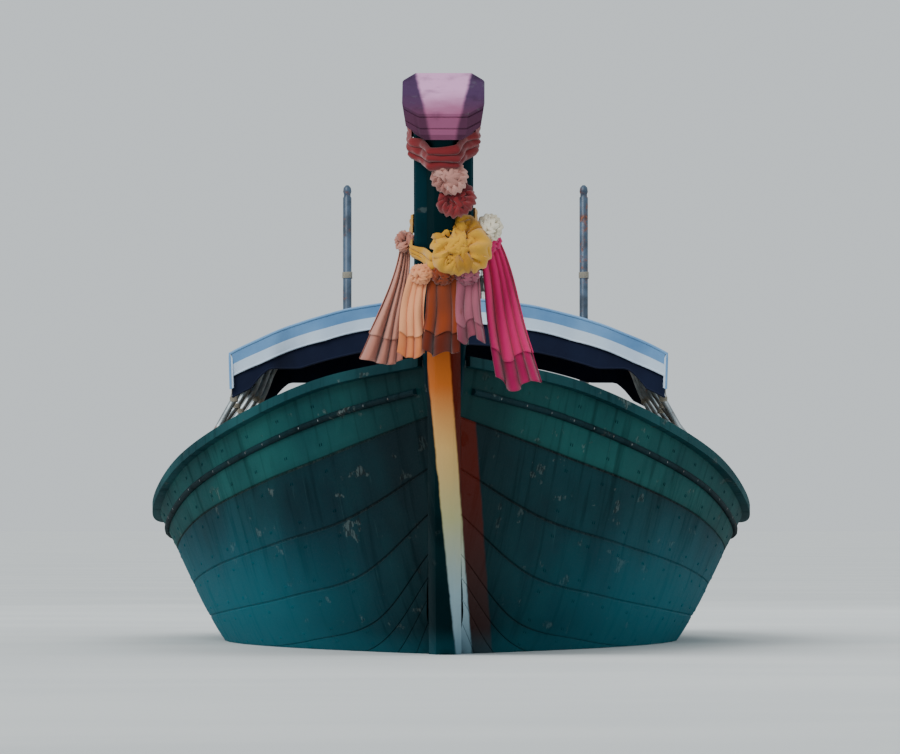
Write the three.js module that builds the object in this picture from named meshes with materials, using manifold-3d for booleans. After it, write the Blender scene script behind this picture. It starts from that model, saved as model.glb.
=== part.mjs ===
// A long-tail boat: a slender wooden passenger boat with a tall prow, a low arched canopy
// and a motor on a swivel at the stern, whose long shaft carries the propeller astern.
//
// Millimetres, +Z up. The bow points to -Y and port is +X. The origin is on the centreline
// amidships, in the plane of the water the boat floats in.

import * as THREE from 'three';
import { mergeVertices } from 'three/addons/utils/BufferGeometryUtils.js';
import Module from 'manifold-3d';

const wasm = await Module();
wasm.setup();

const V = (x, y, z) => new THREE.Vector3(x, y, z);
const degrees = THREE.MathUtils.degToRad;

// Driving dimensions

const FIT = 0.4; // gap between pieces that touch
const RUNNING = 0.6; // gap between faces that turn on each other
const PLANK = 28; // planking thickness
const STEM_HALF = 55; // half the width of the stem timber where the planks end on it
const STEPS = 3; // hull facets between two stations, and between two lines of a section

// Hull lines at the outside of the planking, from the transom to the last frame forward:
// heights of the keel line, then half-breadth and height of the low bilge, of the turn of
// the bilge at the waterline, and of the sheer.
const STATIONS = [
  // y, keelZ, bilgeHalf, bilgeZ, turnHalf, turnZ, sheerHalf, sheerZ
  [4600, -150, 330, -105, 560, 60, 740, 580],
  [3300, -255, 440, -210, 745, -10, 965, 480],
  [1900, -320, 540, -270, 840, -20, 1105, 450],
  [500, -330, 540, -275, 830, -20, 1090, 520],
  [-1000, -320, 430, -260, 700, -10, 950, 665],
  [-2400, -280, 260, -205, 475, 30, 700, 800],
  [-3500, -165, 125, -85, 235, 110, 420, 905],
].map(([y, keelZ, bilgeHalf, bilgeZ, turnHalf, turnZ, sheerHalf, sheerZ]) => ({
  y, keel: [0, keelZ], bilge: [bilgeHalf, bilgeZ], turn: [turnHalf, turnZ], sheer: [sheerHalf, sheerZ],
}));

// The stem line that the plank ends follow, from the forefoot to the top of the prow.
const STEM = [
  // y, z
  [-3900, -25], [-4350, 260], [-4690, 610], [-4930, 965], [-5175, 1430], [-5355, 1845],
];
const PLANK_END = { bilge: 90, turn: 340, sheer: 965 }; // heights where the lines meet the stem
const TRANSOM_RAKE = 0.2;
const TRANSOM_THICK = 40;
const RIBS = { first: -3300, pitch: 500, count: 15, sided: 50, moulded: 55, sunk: 4, split: 5e-3 };
const KEELSON = { half: 45, top: -150 };
const BUTTS = [-1550, 1450]; // where planks and rails are butted, at the second and the fifth thwart
const RISER = { top: 330, height: 45, thick: 26 };
const FLOOR = { fore: -2680, aft: 3150, bottom: -150, thick: 22 };
const FOREDECK = { fore: -4520, aft: -3480, bottom: 800, thick: 24, beam: 70 };
const THWARTS = { first: -2550, pitch: 1000, count: 5, wide: 240, thick: 34 };
const STERN_DECK = { fore: 2750, aft: 4430, thick: 25 };
const GUNWALE = { outside: 28, inside: 40, thick: 34 };
const KEEL_BAR = { half: 40, deep: 62 };
const STEM_BAR = { half: 34, fore: 112, bevel: 40 };
const PROW = { half: 98, footHalf: 62, aftFoot: 262, aftTop: 196 };
const HEAD = { half: 136, waist: 124, neck: 1745, shoulder: 1770, fore: 138, aft: 226 };
const GARLAND = { low: 1642, high: 1725, thick: 22 };
const KNOT = { low: 1270, high: 1400, thick: 14 };
const BUNCHES = {
  // place across, height, place ahead of the post, then the half-sizes of the gathered cloth
  garland: { x: 48, z: 1612, ahead: 60, half: [62, 62, 92] },
  knot: { x: 88, z: 1386, ahead: 40, half: [106, 78, 100] },
};
const SIDE_TAILS = [
  // name, side, width at the top, then inner and outer x and z of the foot
  ['scarf_magenta', 1, 80, 190, 330, 895, 'magentaCloth'],
  ['scarf_salmon', -1, 72, 150, 285, 970, 'salmonCloth'],
];
const TAIL_CLOTH = { behind: -110, deep: 34 }; // place along the post's side, and half its depth
const FRONT_TAIL = { left: -150, right: 10, foot: 985, deep: 48 };
const CANOPY = {
  fore: -1450, aft: 2650, half: 790, crown: 1260, eave: 1062, drop: 130, thick: 10, slack: 1.6,
};
const HOOPS = { y: [-1300, -300, 700, 1700, 2560], radius: 12, bow: 0.88, ease: 8, clear: 8, below: 4 };
const BATTEN = { wide: 30, thick: 8, beyond: 110 };
const POLES = { y: 2800, port: 520, starboard: -420, top: 1790, radius: 17 };
const PEDESTAL = { top: 820, post: 46, flange: 78 };
const PIVOT = { y: 4280, z: 1050 };
const TAIL_ANGLE = 15.5; // slope of the shaft as the boat lies, with the propeller lifted clear
const SHAFT = { z: 110, tube: 28, start: 420, end: 3560 };
const PROPELLER = { radius: 140, hub: 34, length: 118, blades: 3 };

const FINISH = {
  // colour, roughness, metalness
  hullPaint: ['#1e4a50', 0.55, 0],
  railPaint: ['#31656f', 0.5, 0],
  stemPaint: ['#c9b68a', 0.5, 0],
  prowPaint: ['#1c3034', 0.5, 0],
  headPaint: ['#bd8caf', 0.45, 0],
  bareWood: ['#8a6a4a', 0.75, 0],
  deckWood: ['#9a7a56', 0.7, 0],
  canopyCloth: ['#9cbad8', 0.85, 0],
  steel: ['#7b8890', 0.45, 0.8],
  paintedSteel: ['#47607a', 0.5, 0.3],
  castIron: ['#3c4144', 0.6, 0.7],
  brightMetal: ['#b5b8b6', 0.35, 0.9],
  bronze: ['#a5803f', 0.35, 0.9],
  rubber: ['#1b1b1b', 0.8, 0],
  tankPlastic: ['#b03a2c', 0.4, 0],
  redCloth: ['#8a2b30', 0.85, 0],
  yellowCloth: ['#d0a045', 0.85, 0],
  magentaCloth: ['#a12555', 0.85, 0],
  orangeCloth: ['#cf7a3c', 0.85, 0],
  salmonCloth: ['#b87f76', 0.85, 0],
};

const boat = new THREE.Group();

function material(finish) {
  const [color, roughness, metalness] = FINISH[finish];
  return new THREE.MeshStandardMaterial({ color, roughness, metalness });
}

// A named piece; parent is the boat itself or the group of a moving body.
function piece(name, geometry, finish, parent = boat) {
  const mesh = new THREE.Mesh(geometry, material(finish));
  mesh.name = name;
  parent.add(mesh);
  return mesh;
}

// Solids and booleans

function positionsOnly(geometry) {
  const bare = geometry.clone();
  bare.deleteAttribute('normal');
  bare.deleteAttribute('uv');
  return mergeVertices(bare, 1e-3);
}

function signedVolume(positions, indices) {
  let volume = 0;
  for (let k = 0; k < indices.length; k += 3) {
    const [a, b, c] = [0, 1, 2].map((corner) => positions[indices[k + corner]]);
    volume += a.dot(b.clone().cross(c)) / 6;
  }
  return volume;
}

// A closed geometry from points and quads, with its faces turned outward.
function closedGeometry(points, quads, triangles = []) {
  const indices = [...triangles.flat(), ...quads.flatMap(([a, b, c, d]) => [a, b, c, a, c, d])];
  if (signedVolume(points, indices) < 0) indices.reverse();
  const geometry = new THREE.BufferGeometry();
  geometry.setFromPoints(points);
  geometry.setIndex(indices);
  return geometry;
}

// The solid between two grids of points of the same size.
function solidBetween(upper, lower) {
  const rows = upper.length;
  const columns = upper[0].length;
  const points = [...upper.flat(), ...lower.flat()];
  const A = (i, j) => i * columns + j;
  const B = (i, j) => rows * columns + A(i, j);
  const quads = [];
  for (let i = 0; i < rows - 1; i += 1) {
    for (let j = 0; j < columns - 1; j += 1) {
      quads.push([A(i, j), A(i + 1, j), A(i + 1, j + 1), A(i, j + 1)]);
      quads.push([B(i, j), B(i, j + 1), B(i + 1, j + 1), B(i + 1, j)]);
    }
    const last = columns - 1;
    quads.push([A(i + 1, 0), A(i, 0), B(i, 0), B(i + 1, 0)]);
    quads.push([A(i + 1, last), B(i + 1, last), B(i, last), A(i, last)]);
  }
  for (let j = 0; j < columns - 1; j += 1) {
    const last = rows - 1;
    quads.push([A(0, j), A(0, j + 1), B(0, j + 1), B(0, j)]);
    quads.push([A(last, j + 1), A(last, j), B(last, j), B(last, j + 1)]);
  }
  return closedGeometry(points, quads);
}

// The solid through a row of closed rings with the same number of points. Each end is closed by
// rungs from one half of its ring to the other.
function loft(rings) {
  const count = rings[0].length;
  const points = rings.flat();
  const quads = [];
  for (let i = 0; i < rings.length - 1; i += 1) {
    for (let j = 0; j < count; j += 1) {
      const next = (j + 1) % count;
      quads.push([i * count + j, i * count + next, (i + 1) * count + next, (i + 1) * count + j]);
    }
  }
  const triangles = [];
  const base = (rings.length - 1) * count;
  for (let j = 0; j < Math.floor((count - 1) / 2); j += 1) {
    const rungs = [j, j + 1, count - 2 - j, count - 1 - j];
    const faces = rungs[1] === rungs[2]
      ? [[rungs[0], rungs[1], rungs[3]]]
      : [[rungs[0], rungs[1], rungs[2]], [rungs[0], rungs[2], rungs[3]]];
    faces.forEach(([a, b, c]) => triangles.push([a, c, b], [base + a, base + b, base + c]));
  }
  return closedGeometry(points, quads, triangles);
}

// Limits past the hull on every side, for slabs that are cut to its shape
const ACROSS = [-1500, 1500];
const [UNDER_HULL, OVER_HULL] = [-500, 1200];
const [BEFORE_HULL, BEHIND_HULL] = [-5300, 4700];

function toSolid(geometry) {
  const bare = positionsOnly(geometry);
  return new wasm.Manifold(new wasm.Mesh({
    numProp: 3,
    vertProperties: new Float32Array(bare.attributes.position.array),
    triVerts: new Uint32Array(bare.index.array),
  }));
}

function toGeometry(solid) {
  const { vertProperties, triVerts } = solid.getMesh();
  const geometry = new THREE.BufferGeometry();
  geometry.setAttribute('position', new THREE.BufferAttribute(new Float32Array(vertProperties), 3));
  geometry.setIndex(new THREE.BufferAttribute(new Uint32Array(triVerts), 1));
  return geometry;
}

const joined = (first, ...others) => others.reduce((sum, solid) => sum.add(solid), first);

// A box between two limits on each axis.
function block([x0, x1], [y0, y1], [z0, z1]) {
  const geometry = new THREE.BoxGeometry(x1 - x0, y1 - y0, z1 - z0);
  return geometry.translate((x0 + x1) / 2, (y0 + y1) / 2, (z0 + z1) / 2);
}

// A cylinder between two points, or a cone where the radii differ.
function rod(from, to, radius, sides = 16, radiusTo = radius) {
  const along = to.clone().sub(from);
  const geometry = new THREE.CylinderGeometry(radiusTo, radius, along.length(), sides);
  const turn = new THREE.Quaternion().setFromUnitVectors(V(0, 1, 0), along.clone().normalize());
  const middle = from.clone().add(to).divideScalar(2);
  return geometry.applyQuaternion(turn).translate(middle.x, middle.y, middle.z);
}

// A round bar along a smooth curve through points.
function bentRod(points, radius, steps, sides = 8) {
  const section = new THREE.Shape();
  for (let k = 0; k < sides; k += 1) {
    const angle = (2 * Math.PI * k) / sides;
    const corner = [radius * Math.cos(angle), radius * Math.sin(angle)];
    if (k === 0) section.moveTo(...corner);
    else section.lineTo(...corner);
  }
  const path = new THREE.CatmullRomCurve3(points, false, 'centripetal');
  return new THREE.ExtrudeGeometry(section, { extrudePath: path, steps });
}

// The hull's surface

const keelLine = [...STATIONS.map((s) => V(0, s.y, s.keel[1])), ...STEM.map(([y, z]) => V(0, y, z))];
keelLine[0].y -= TRANSOM_RAKE * (STATIONS[0].sheer[1] - STATIONS[0].keel[1]);
const profile = new THREE.CatmullRomCurve3(keelLine, false, 'centripetal');
const KEEL_SHARE = STATIONS.length / (keelLine.length - 1); // the part of the profile under the planks

// Where the stem line reaches a height, as a place on the profile curve.
function stemPlace(z) {
  let [low, high] = [KEEL_SHARE - 0.1, 1];
  for (let k = 0; k < 40; k += 1) {
    const middle = (low + high) / 2;
    if (profile.getPoint(middle).z < z) low = middle;
    else high = middle;
  }
  return (low + high) / 2;
}

function ribband(name) {
  const points = STATIONS.map((s, k) => {
    const [half, z] = s[name];
    const rake = k === 0 ? TRANSOM_RAKE * (s.sheer[1] - z) : 0;
    return V(half, s.y - rake, z);
  });
  points.push(profile.getPoint(stemPlace(PLANK_END[name])).setX(STEM_HALF));
  return new THREE.CatmullRomCurve3(points, false, 'centripetal');
}

const ribbands = ['bilge', 'turn', 'sheer'].map(ribband);

// A point of the port side's outside; u runs from transom to stem, v from keel to sheer.
function hullPoint(u, v) {
  const across = [profile.getPoint(u * KEEL_SHARE), ...ribbands.map((line) => line.getPoint(u))];
  return new THREE.CatmullRomCurve3(across, false, 'centripetal').getPoint(v);
}

// The way in from the outside of the hull, one millimetre deep square to the planks. It stays
// on the centreline at the keel and stays level at the sheer.
function inward(u, v) {
  const step = 1e-3;
  const alongU = hullPoint(Math.min(u + step, 1), v).sub(hullPoint(Math.max(u - step, 0), v));
  const alongV = hullPoint(u, Math.min(v + step, 1)).sub(hullPoint(u, Math.max(v - step, 0)));
  const normal = alongU.cross(alongV).normalize();
  if (v === 0) normal.x = 0;
  if (v === 1) normal.z = 0;
  return normal.divideScalar(normal.lengthSq());
}

// The hull's surface moved inward by a depth; it never crosses the centreline.
function skinPoint(u, v, depth) {
  const point = hullPoint(u, v).addScaledVector(inward(u, v), depth);
  if (v > 0) point.x = Math.max(point.x, 2);
  return point;
}

const mirrored = (point) => V(-point.x, point.y, point.z);

function spaced(from, to, count) {
  return Array.from({ length: count + 1 }, (_, k) => from + ((to - from) * k) / count);
}

const U_ROW = spaced(0, 1, STATIONS.length * STEPS);
const BILGE_V = 2 / 3; // the seam between bottom and topsides, at the turn of the bilge
const SEAM = 2.5e-4;

// The skin at one depth, a row for each u, over the values of v.
const skin = (values, depth) => U_ROW.map((u) => values.map((v) => skinPoint(u, v, depth)));

function bothSides(rows) {
  return rows.map((row) => [...row.slice(1).reverse().map(mirrored), ...row]);
}

// The whole hull as one solid, at a depth inside its planks (or outside them, where the depth
// is negative), with a flat lid from sheer to sheer, raised, and its fore end moved ahead.
function hullBody(depth, raise = 0, ahead = 0) {
  const rows = bothSides(skin(spaced(0, 1, 3 * STEPS), depth));
  const raised = (point) => V(point.x, point.y, point.z + raise);
  const rings = rows.map((row) => (raise > 0 ? [raised(row[0]), ...row, raised(row[row.length - 1])] : row));
  rings[rings.length - 1].forEach((point) => point.setY(point.y - ahead));
  return toSolid(loft(rings));
}

const outside = hullBody(-FIT, FIT, FIT);
const inside = hullBody(PLANK + FIT);
const insideRibs = hullBody(PLANK + RIBS.moulded, RIBS.moulded);
const clearOfRibs = hullBody(PLANK + RIBS.moulded + FIT);

// Where a line of the skin passes a station, as a value of u.
function placeAt(y, v) {
  let [low, high] = [0, 1];
  for (let k = 0; k < 40; k += 1) {
    const middle = (low + high) / 2;
    if (hullPoint(middle, v).y > y) low = middle;
    else high = middle;
  }
  return (low + high) / 2;
}

// Framed planking, transom, keel and stem

// All that lies under a line of the skin on both sides, for a cut along that line.
function underLine(v) {
  const [beyond, within] = [-150, PLANK + RIBS.moulded + 60];
  return toSolid(loft(U_ROW.map((u) => {
    const [out, deep] = [skinPoint(u, v, beyond), skinPoint(u, v, within)];
    return [
      out, deep, mirrored(deep), mirrored(out), V(-out.x, out.y, UNDER_HULL), V(out.x, out.y, UNDER_HULL),
    ];
  })));
}

// The frames, as bands inside the planks, sunk into them a little so that they are one with them.
function frames() {
  const bands = hullBody(PLANK - RIBS.sunk).subtract(insideRibs);
  const slabs = Array.from({ length: RIBS.count }, (_, k) => {
    const y = RIBS.first + RIBS.pitch * k;
    return toSolid(block(ACROSS, [y - RIBS.sided / 2, y + RIBS.sided / 2], [UNDER_HULL, OVER_HULL]));
  });
  return bands.intersect(joined(...slabs));
}

// The strips along the frames that carry the thwarts and the stern deck.
function risers() {
  const depth = PLANK + RIBS.moulded;
  const band = hullBody(depth - 1).subtract(hullBody(depth + RISER.thick));
  const aft = RIBS.first + RIBS.pitch * (RIBS.count - 1);
  const ys = [RIBS.first - RIBS.sided / 2, aft + RIBS.sided / 2];
  return band.intersect(toSolid(block(ACROSS, ys, [RISER.top - RISER.height, RISER.top - FIT])));
}

// Adds planks or a rail in three runs, which butt with a fitting gap.
function addRuns(name, solid, finish) {
  const ends = [BEFORE_HULL, ...BUTTS, BEHIND_HULL];
  ['fore', 'mid', 'aft'].forEach((run, k) => {
    const ys = [ends[k] + FIT / 2, ends[k + 1] - FIT / 2];
    const slab = toSolid(block(ACROSS, ys, [UNDER_HULL, OVER_HULL]));
    piece(`${name}_${run}`, toGeometry(solid.intersect(slab)), finish);
  });
}

function addPlanking() {
  const ribs = frames();
  const bottom = spaced(0, BILGE_V, 2 * STEPS);
  const floorYs = [FLOOR.fore - 60, RIBS.first + RIBS.pitch * (RIBS.count - 1) + 60];
  const keelson = hullBody(PLANK - RIBS.sunk).intersect(toSolid(block(
    [-KEELSON.half, KEELSON.half], floorYs, [UNDER_HULL, KEELSON.top - FIT],
  )));
  const bottomPlanks = toSolid(solidBetween(bothSides(skin(bottom, 0)), bothSides(skin(bottom, PLANK))));
  const bottomRibs = ribs.intersect(underLine(BILGE_V - RIBS.split));
  addRuns('hull_bottom', joined(bottomPlanks, bottomRibs, keelson), 'hullPaint');

  const side = spaced(BILGE_V + SEAM, 1, STEPS);
  const [outer, inner] = [skin(side, 0), skin(side, PLANK)];
  const opposite = (rows) => rows.map((row) => [...row].reverse().map(mirrored));
  const sideRibs = ribs.add(risers()).subtract(underLine(BILGE_V + RIBS.split));
  [['port', 0, solidBetween(outer, inner)],
    ['starboard', 1, solidBetween(opposite(outer), opposite(inner))]].forEach(([name, part, planks]) => {
    const limits = [[0, ACROSS[1]], [ACROSS[0], 0]][part];
    const half = toSolid(block(limits, [BEFORE_HULL, BEHIND_HULL], [UNDER_HULL, OVER_HULL]));
    addRuns(`topside_${name}`, toSolid(planks).add(sideRibs.intersect(half)), 'hullPaint');
  });
}

function addTransom() {
  const [rim] = bothSides([spaced(0, 1, 3 * STEPS).map((v) => hullPoint(0, v))]);
  const board = [FIT, FIT + TRANSOM_THICK].map((back) => rim.map((p) => V(p.x, p.y + back, p.z)));
  piece('transom', loft(board), 'railPaint');
}

// The line of keel and stem at a place on the profile: the point, and the way out of the boat.
function backboneFrame(place) {
  const tangent = profile.getTangent(place);
  return { point: profile.getPoint(place), out: V(0, -tangent.z, tangent.y), along: tangent };
}

// A ring round the backbone from pairs of half-width and distance out, given fore to aft.
function backboneRing(place, pairs) {
  const { point, out } = backboneFrame(place);
  const at = (half, distance) => point.clone().addScaledVector(out, distance).setX(half);
  return [...pairs.map(([half, d]) => at(half, d)), ...pairs.map(([half, d]) => at(-half, d)).reverse()];
}

const FOREFOOT = (STATIONS.length - 1) / (keelLine.length - 1);
const SUNK = 8; // keel and stem start this far inside the planks and are cut back by them

// The stem timber from the forefoot to the neck of the prow, grown by a margin.
function stemBar(margin = 0) {
  const pairs = [
    [STEM_BAR.half + margin, STEM_BAR.fore + margin], [STEM_HALF + margin, STEM_BAR.bevel],
    [STEM_HALF + margin, -SUNK - margin],
  ];
  const places = spaced(FOREFOOT + 5e-5, stemPlace(HEAD.neck), 22);
  return toSolid(loft(places.map((place) => backboneRing(place, pairs))));
}

function addBackbone() {
  const keelPlaces = U_ROW.map((u) => u * KEEL_SHARE).filter((place) => place < FOREFOOT + 1e-9);
  const keelPairs = [[KEEL_BAR.half - 8, KEEL_BAR.deep], [KEEL_BAR.half, -SUNK]];
  const keel = toSolid(loft(keelPlaces.map((place) => backboneRing(place, keelPairs))));
  piece('keel', toGeometry(keel.subtract(outside)), 'hullPaint');

  piece('stem', toGeometry(stemBar().subtract(outside)), 'stemPaint');
}

// The prow post behind the stem, grown by a margin.
function prowPost(margin = 0) {
  const rings = [
    // height, half-width, depth aft
    [860, PROW.footHalf, PROW.aftFoot], [1010, PROW.footHalf + 10, PROW.aftFoot - 8],
    [1130, PROW.half - 6, PROW.aftFoot - 20], [1280, PROW.half, PROW.aftFoot - 36],
    [1440, PROW.half, PROW.aftTop + 12], [HEAD.neck, PROW.half, PROW.aftTop],
  ].map(([z, half, aft]) => backboneRing(stemPlace(z), [
    [half - 20, margin], [half + margin, -20], [half + margin, 20 - aft], [half - 24, -aft - margin],
  ]));
  const besidePlanks = hullBody(-70, FIT, 80);
  return toSolid(loft(rings)).subtract(outside).subtract(besidePlanks).subtract(stemBar(FIT));
}

function addProw() {
  piece('prow_post', toGeometry(prowPost()), 'prowPaint');
  const neck = stemPlace(HEAD.neck) + 1e-4;
  const rings = [
    // place, half-width, reach fore, reach aft
    [neck, PROW.half + 2, STEM_BAR.fore + 4, PROW.aftTop + 4],
    [stemPlace(HEAD.shoulder), HEAD.waist, HEAD.fore, HEAD.aft],
    [0.998, HEAD.half, HEAD.fore + 6, HEAD.aft - 4],
    [1, HEAD.half - 12, HEAD.fore - 6, HEAD.aft - 16],
  ].map(([place, half, fore, aft]) => backboneRing(place, [
    [half * 0.6, fore], [half, fore * 0.45], [half, -aft * 0.7], [half * 0.7, -aft],
  ]));
  piece('prow_head', loft(rings), 'headPaint');
}

// The rail on the sheer of one side, carried aft over the transom and grown by a margin.
function railBar(side, margin = 0) {
  const section = (u) => {
    const edge = hullPoint(u, 1);
    const depth = Math.min(PLANK + GUNWALE.inside, edge.x - 10) + margin;
    const [outer, inner] = [skinPoint(u, 1, -GUNWALE.outside - margin), skinPoint(u, 1, depth)];
    const [low, high] = [edge.z + FIT - margin, edge.z + FIT + GUNWALE.thick + margin];
    return [[outer, low], [outer, high], [inner, high], [inner, low]].map(([p, z]) => V(side * p.x, p.y, z));
  };
  const rings = U_ROW.map(section);
  rings.unshift(rings[0].map((p) => V(p.x, p.y + TRANSOM_THICK + FIT, p.z)));
  return toSolid(loft(rings));
}

// The rails fit round the foot of the prow post and end against the stem.
function addGunwales() {
  const prowFoot = prowPost(2 * FIT).add(stemBar(FIT));
  addRuns('gunwale_port', railBar(1).subtract(prowFoot), 'railPaint');
  addRuns('gunwale_starboard', railBar(-1).subtract(prowFoot), 'railPaint');
}

// Boards inside the hull

const boardWithin = (hollow, ys, zs) => toGeometry(hollow.intersect(toSolid(block(ACROSS, ys, zs))));

function addDecks() {
  const { fore, aft, bottom, thick } = FLOOR;
  piece('floorboards', boardWithin(clearOfRibs, [fore, aft], [bottom, bottom + thick]), 'deckWood');

  const deckTop = FOREDECK.bottom + FOREDECK.thick;
  const deck = toSolid(block(ACROSS, [FOREDECK.fore, FOREDECK.aft], [FOREDECK.bottom, deckTop]));
  const beamYs = [FOREDECK.aft - FOREDECK.beam, FOREDECK.aft];
  const beam = toSolid(block(ACROSS, beamYs, [FOREDECK.bottom - FOREDECK.beam, deckTop]));
  piece('foredeck', toGeometry(inside.intersect(deck.add(beam))), 'deckWood');
  piece('bow_bitt', block([-38, 38], [-4020, -3944], [deckTop + FIT, deckTop + 190]), 'bareWood');

  for (let k = 0; k < THWARTS.count; k += 1) {
    const y = THWARTS.first + THWARTS.pitch * k;
    const ys = [y - THWARTS.wide / 2, y + THWARTS.wide / 2];
    piece(`thwart_${k + 1}`, boardWithin(inside, ys, [RISER.top, RISER.top + THWARTS.thick]), 'deckWood');
  }
  const sternZs = [RISER.top, RISER.top + STERN_DECK.thick];
  piece('stern_deck', boardWithin(clearOfRibs, [STERN_DECK.fore, STERN_DECK.aft], sternZs), 'deckWood');
}

// Canopy and poles

const ARC_RISE = CANOPY.crown - CANOPY.eave;
const ARC_RADIUS = (CANOPY.half ** 2 + ARC_RISE ** 2) / (2 * ARC_RISE);
const ARC_CENTRE = CANOPY.crown - ARC_RADIUS;
const ARC_HALF_ANGLE = Math.asin(CANOPY.half / ARC_RADIUS);

function arcPoint(angle, radius, y) {
  return V(radius * Math.sin(angle), y, ARC_CENTRE + radius * Math.cos(angle));
}

function addCanopy() {
  const sheet = (depth) => [CANOPY.fore, CANOPY.aft].map((y) => {
    const arc = spaced(-ARC_HALF_ANGLE, ARC_HALF_ANGLE, 20).map((a) => arcPoint(a, ARC_RADIUS - depth, y));
    const hem = CANOPY.eave - CANOPY.drop;
    const [first, last] = [arc[0], arc[arc.length - 1]];
    return [V(first.x, y, hem), ...arc, V(last.x, y, hem)];
  });
  piece('canopy_cover', solidBetween(sheet(0), sheet(CANOPY.thick)), 'canopyCloth');

  const hoopArc = ARC_RADIUS - CANOPY.thick - CANOPY.slack - HOOPS.radius;
  const battenTop = hoopArc - HOOPS.radius - FIT;
  const battenLow = battenTop - BATTEN.thick;
  const halfTurn = BATTEN.wide / 2 / ARC_RADIUS;
  const battenEnds = [HOOPS.y[0] - BATTEN.beyond, HOOPS.y[HOOPS.y.length - 1] + BATTEN.beyond / 2];
  const corners = [[-1, battenTop], [1, battenTop], [1, battenLow], [-1, battenLow]];
  const batten = battenEnds.map((y) => corners.map(([side, radius]) => arcPoint(side * halfTurn, radius, y)));
  piece('canopy_batten', loft(batten), 'bareWood');

  const rails = railBar(1, FIT).add(railBar(-1, FIT));
  HOOPS.y.forEach((y, k) => {
    const u = placeAt(y, 1);
    const foot = V(skinPoint(u, 1, PLANK - 8).x, y, hullPoint(u, 1).z + 12);
    const bow = spaced(HOOPS.bow, -HOOPS.bow, 12).map((share) => {
      const inwards = Math.abs(share) < HOOPS.bow ? 0 : HOOPS.ease;
      return arcPoint(share * ARC_HALF_ANGLE, hoopArc - inwards, y);
    });
    const insideHem = CANOPY.half - CANOPY.thick - HOOPS.radius - HOOPS.clear;
    const elbow = V(insideHem, y, CANOPY.eave - CANOPY.drop - HOOPS.below);
    const line = [foot, elbow, ...bow, mirrored(elbow), mirrored(foot)];
    const hoop = toSolid(bentRod(line, HOOPS.radius, 32, 8));
    piece(`canopy_hoop_${k + 1}`, toGeometry(hoop.subtract(rails)), 'steel');
  });

  const deckTop = RISER.top + STERN_DECK.thick + FIT;
  [['pole_port', POLES.port], ['pole_starboard', POLES.starboard]].forEach(([name, x]) => {
    piece(name, rod(V(x, POLES.y, deckTop), V(x, POLES.y, POLES.top), POLES.radius, 12), 'paintedSteel');
  });
}

// Cloth tied round the prow

// The outline of prow post and stem together at a height, grown by a margin.
function prowOutline(z, margin) {
  const lower = THREE.MathUtils.clamp((HEAD.neck - z) / 500, 0, 1);
  const aft = PROW.aftTop + (PROW.aftFoot - PROW.aftTop) * lower;
  return backboneRing(stemPlace(z), [
    [STEM_BAR.half + margin, STEM_BAR.fore + margin], [STEM_HALF + 4 + margin, STEM_BAR.bevel],
    [PROW.half + margin, 0], [PROW.half + margin, -aft - margin],
  ]);
}

// What post and stem take up between two heights, grown by a margin at each height.
const postBetween = (heights, margins) => toSolid(loft(heights.map((z, k) => prowOutline(z, margins[k]))));

// Cloth wound round the post, with the gathered rest of it in a bunch on its port bow.
function wrap({ low, high, thick }, bunch) {
  const heights = [low, (low + high) / 2, high];
  const outer = postBetween(heights, [0.6, 1, 0.6].map((share) => FIT + thick * share));
  const { point, out } = backboneFrame(stemPlace(bunch.z));
  const centre = point.addScaledVector(out, bunch.ahead).setX(bunch.x);
  const gathered = new THREE.SphereGeometry(1, 12, 8).scale(...bunch.half);
  const reach = 200;
  const within = spaced(low - reach, high + reach, 16);
  return outer.add(toSolid(gathered.translate(centre.x, centre.y, centre.z)))
    .subtract(postBetween(within, within.map(() => FIT)));
}

// A cloth tail that hangs from where its rows start to its foot and spreads as it falls. Corners
// gives the x and y limits of a row from the share of the way down.
function hangingTail(topZ, footZ, corners) {
  return loft(spaced(0, 1, 4).map((t) => {
    const [[x0, x1], [y0, y1]] = corners(Math.sqrt(t));
    const z = topZ + (footZ - topZ) * t;
    return [V(x0, y0, z), V(x1, y0, z), V(x1, y1, z), V(x0, y1, z)];
  }));
}

// The tails start at the widest line of the knot, a fitting gap outside it.
function addProwCloth() {
  piece('garland', toGeometry(wrap(GARLAND, BUNCHES.garland)), 'redCloth');
  piece('scarf_knot', toGeometry(wrap(KNOT, BUNCHES.knot)), 'yellowCloth');
  const { point, out } = backboneFrame(stemPlace((KNOT.low + KNOT.high) / 2));
  const crest = KNOT.thick + 2 * FIT;
  const beside = point.clone().addScaledVector(out, TAIL_CLOTH.behind);
  const ys = [beside.y - TAIL_CLOTH.deep, beside.y + TAIL_CLOTH.deep];
  SIDE_TAILS.forEach(([name, side, width, footIn, footOut, footZ, finish]) => {
    const topIn = PROW.half + crest;
    const across = (share) => [
      side * THREE.MathUtils.lerp(topIn, footIn, share),
      side * THREE.MathUtils.lerp(topIn + width, footOut, share),
    ];
    piece(name, hangingTail(beside.z, footZ, (share) => [across(share), ys]), finish);
  });
  const ahead = point.clone().addScaledVector(out, STEM_BAR.fore + crest);
  const frontXs = [FRONT_TAIL.left, FRONT_TAIL.right];
  const frontYs = [ahead.y - FRONT_TAIL.deep, ahead.y];
  piece('scarf_orange', hangingTail(ahead.z, FRONT_TAIL.foot, () => [frontXs, frontYs]), 'orangeCloth');
}

// Stern: beam, pedestal and tank

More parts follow.
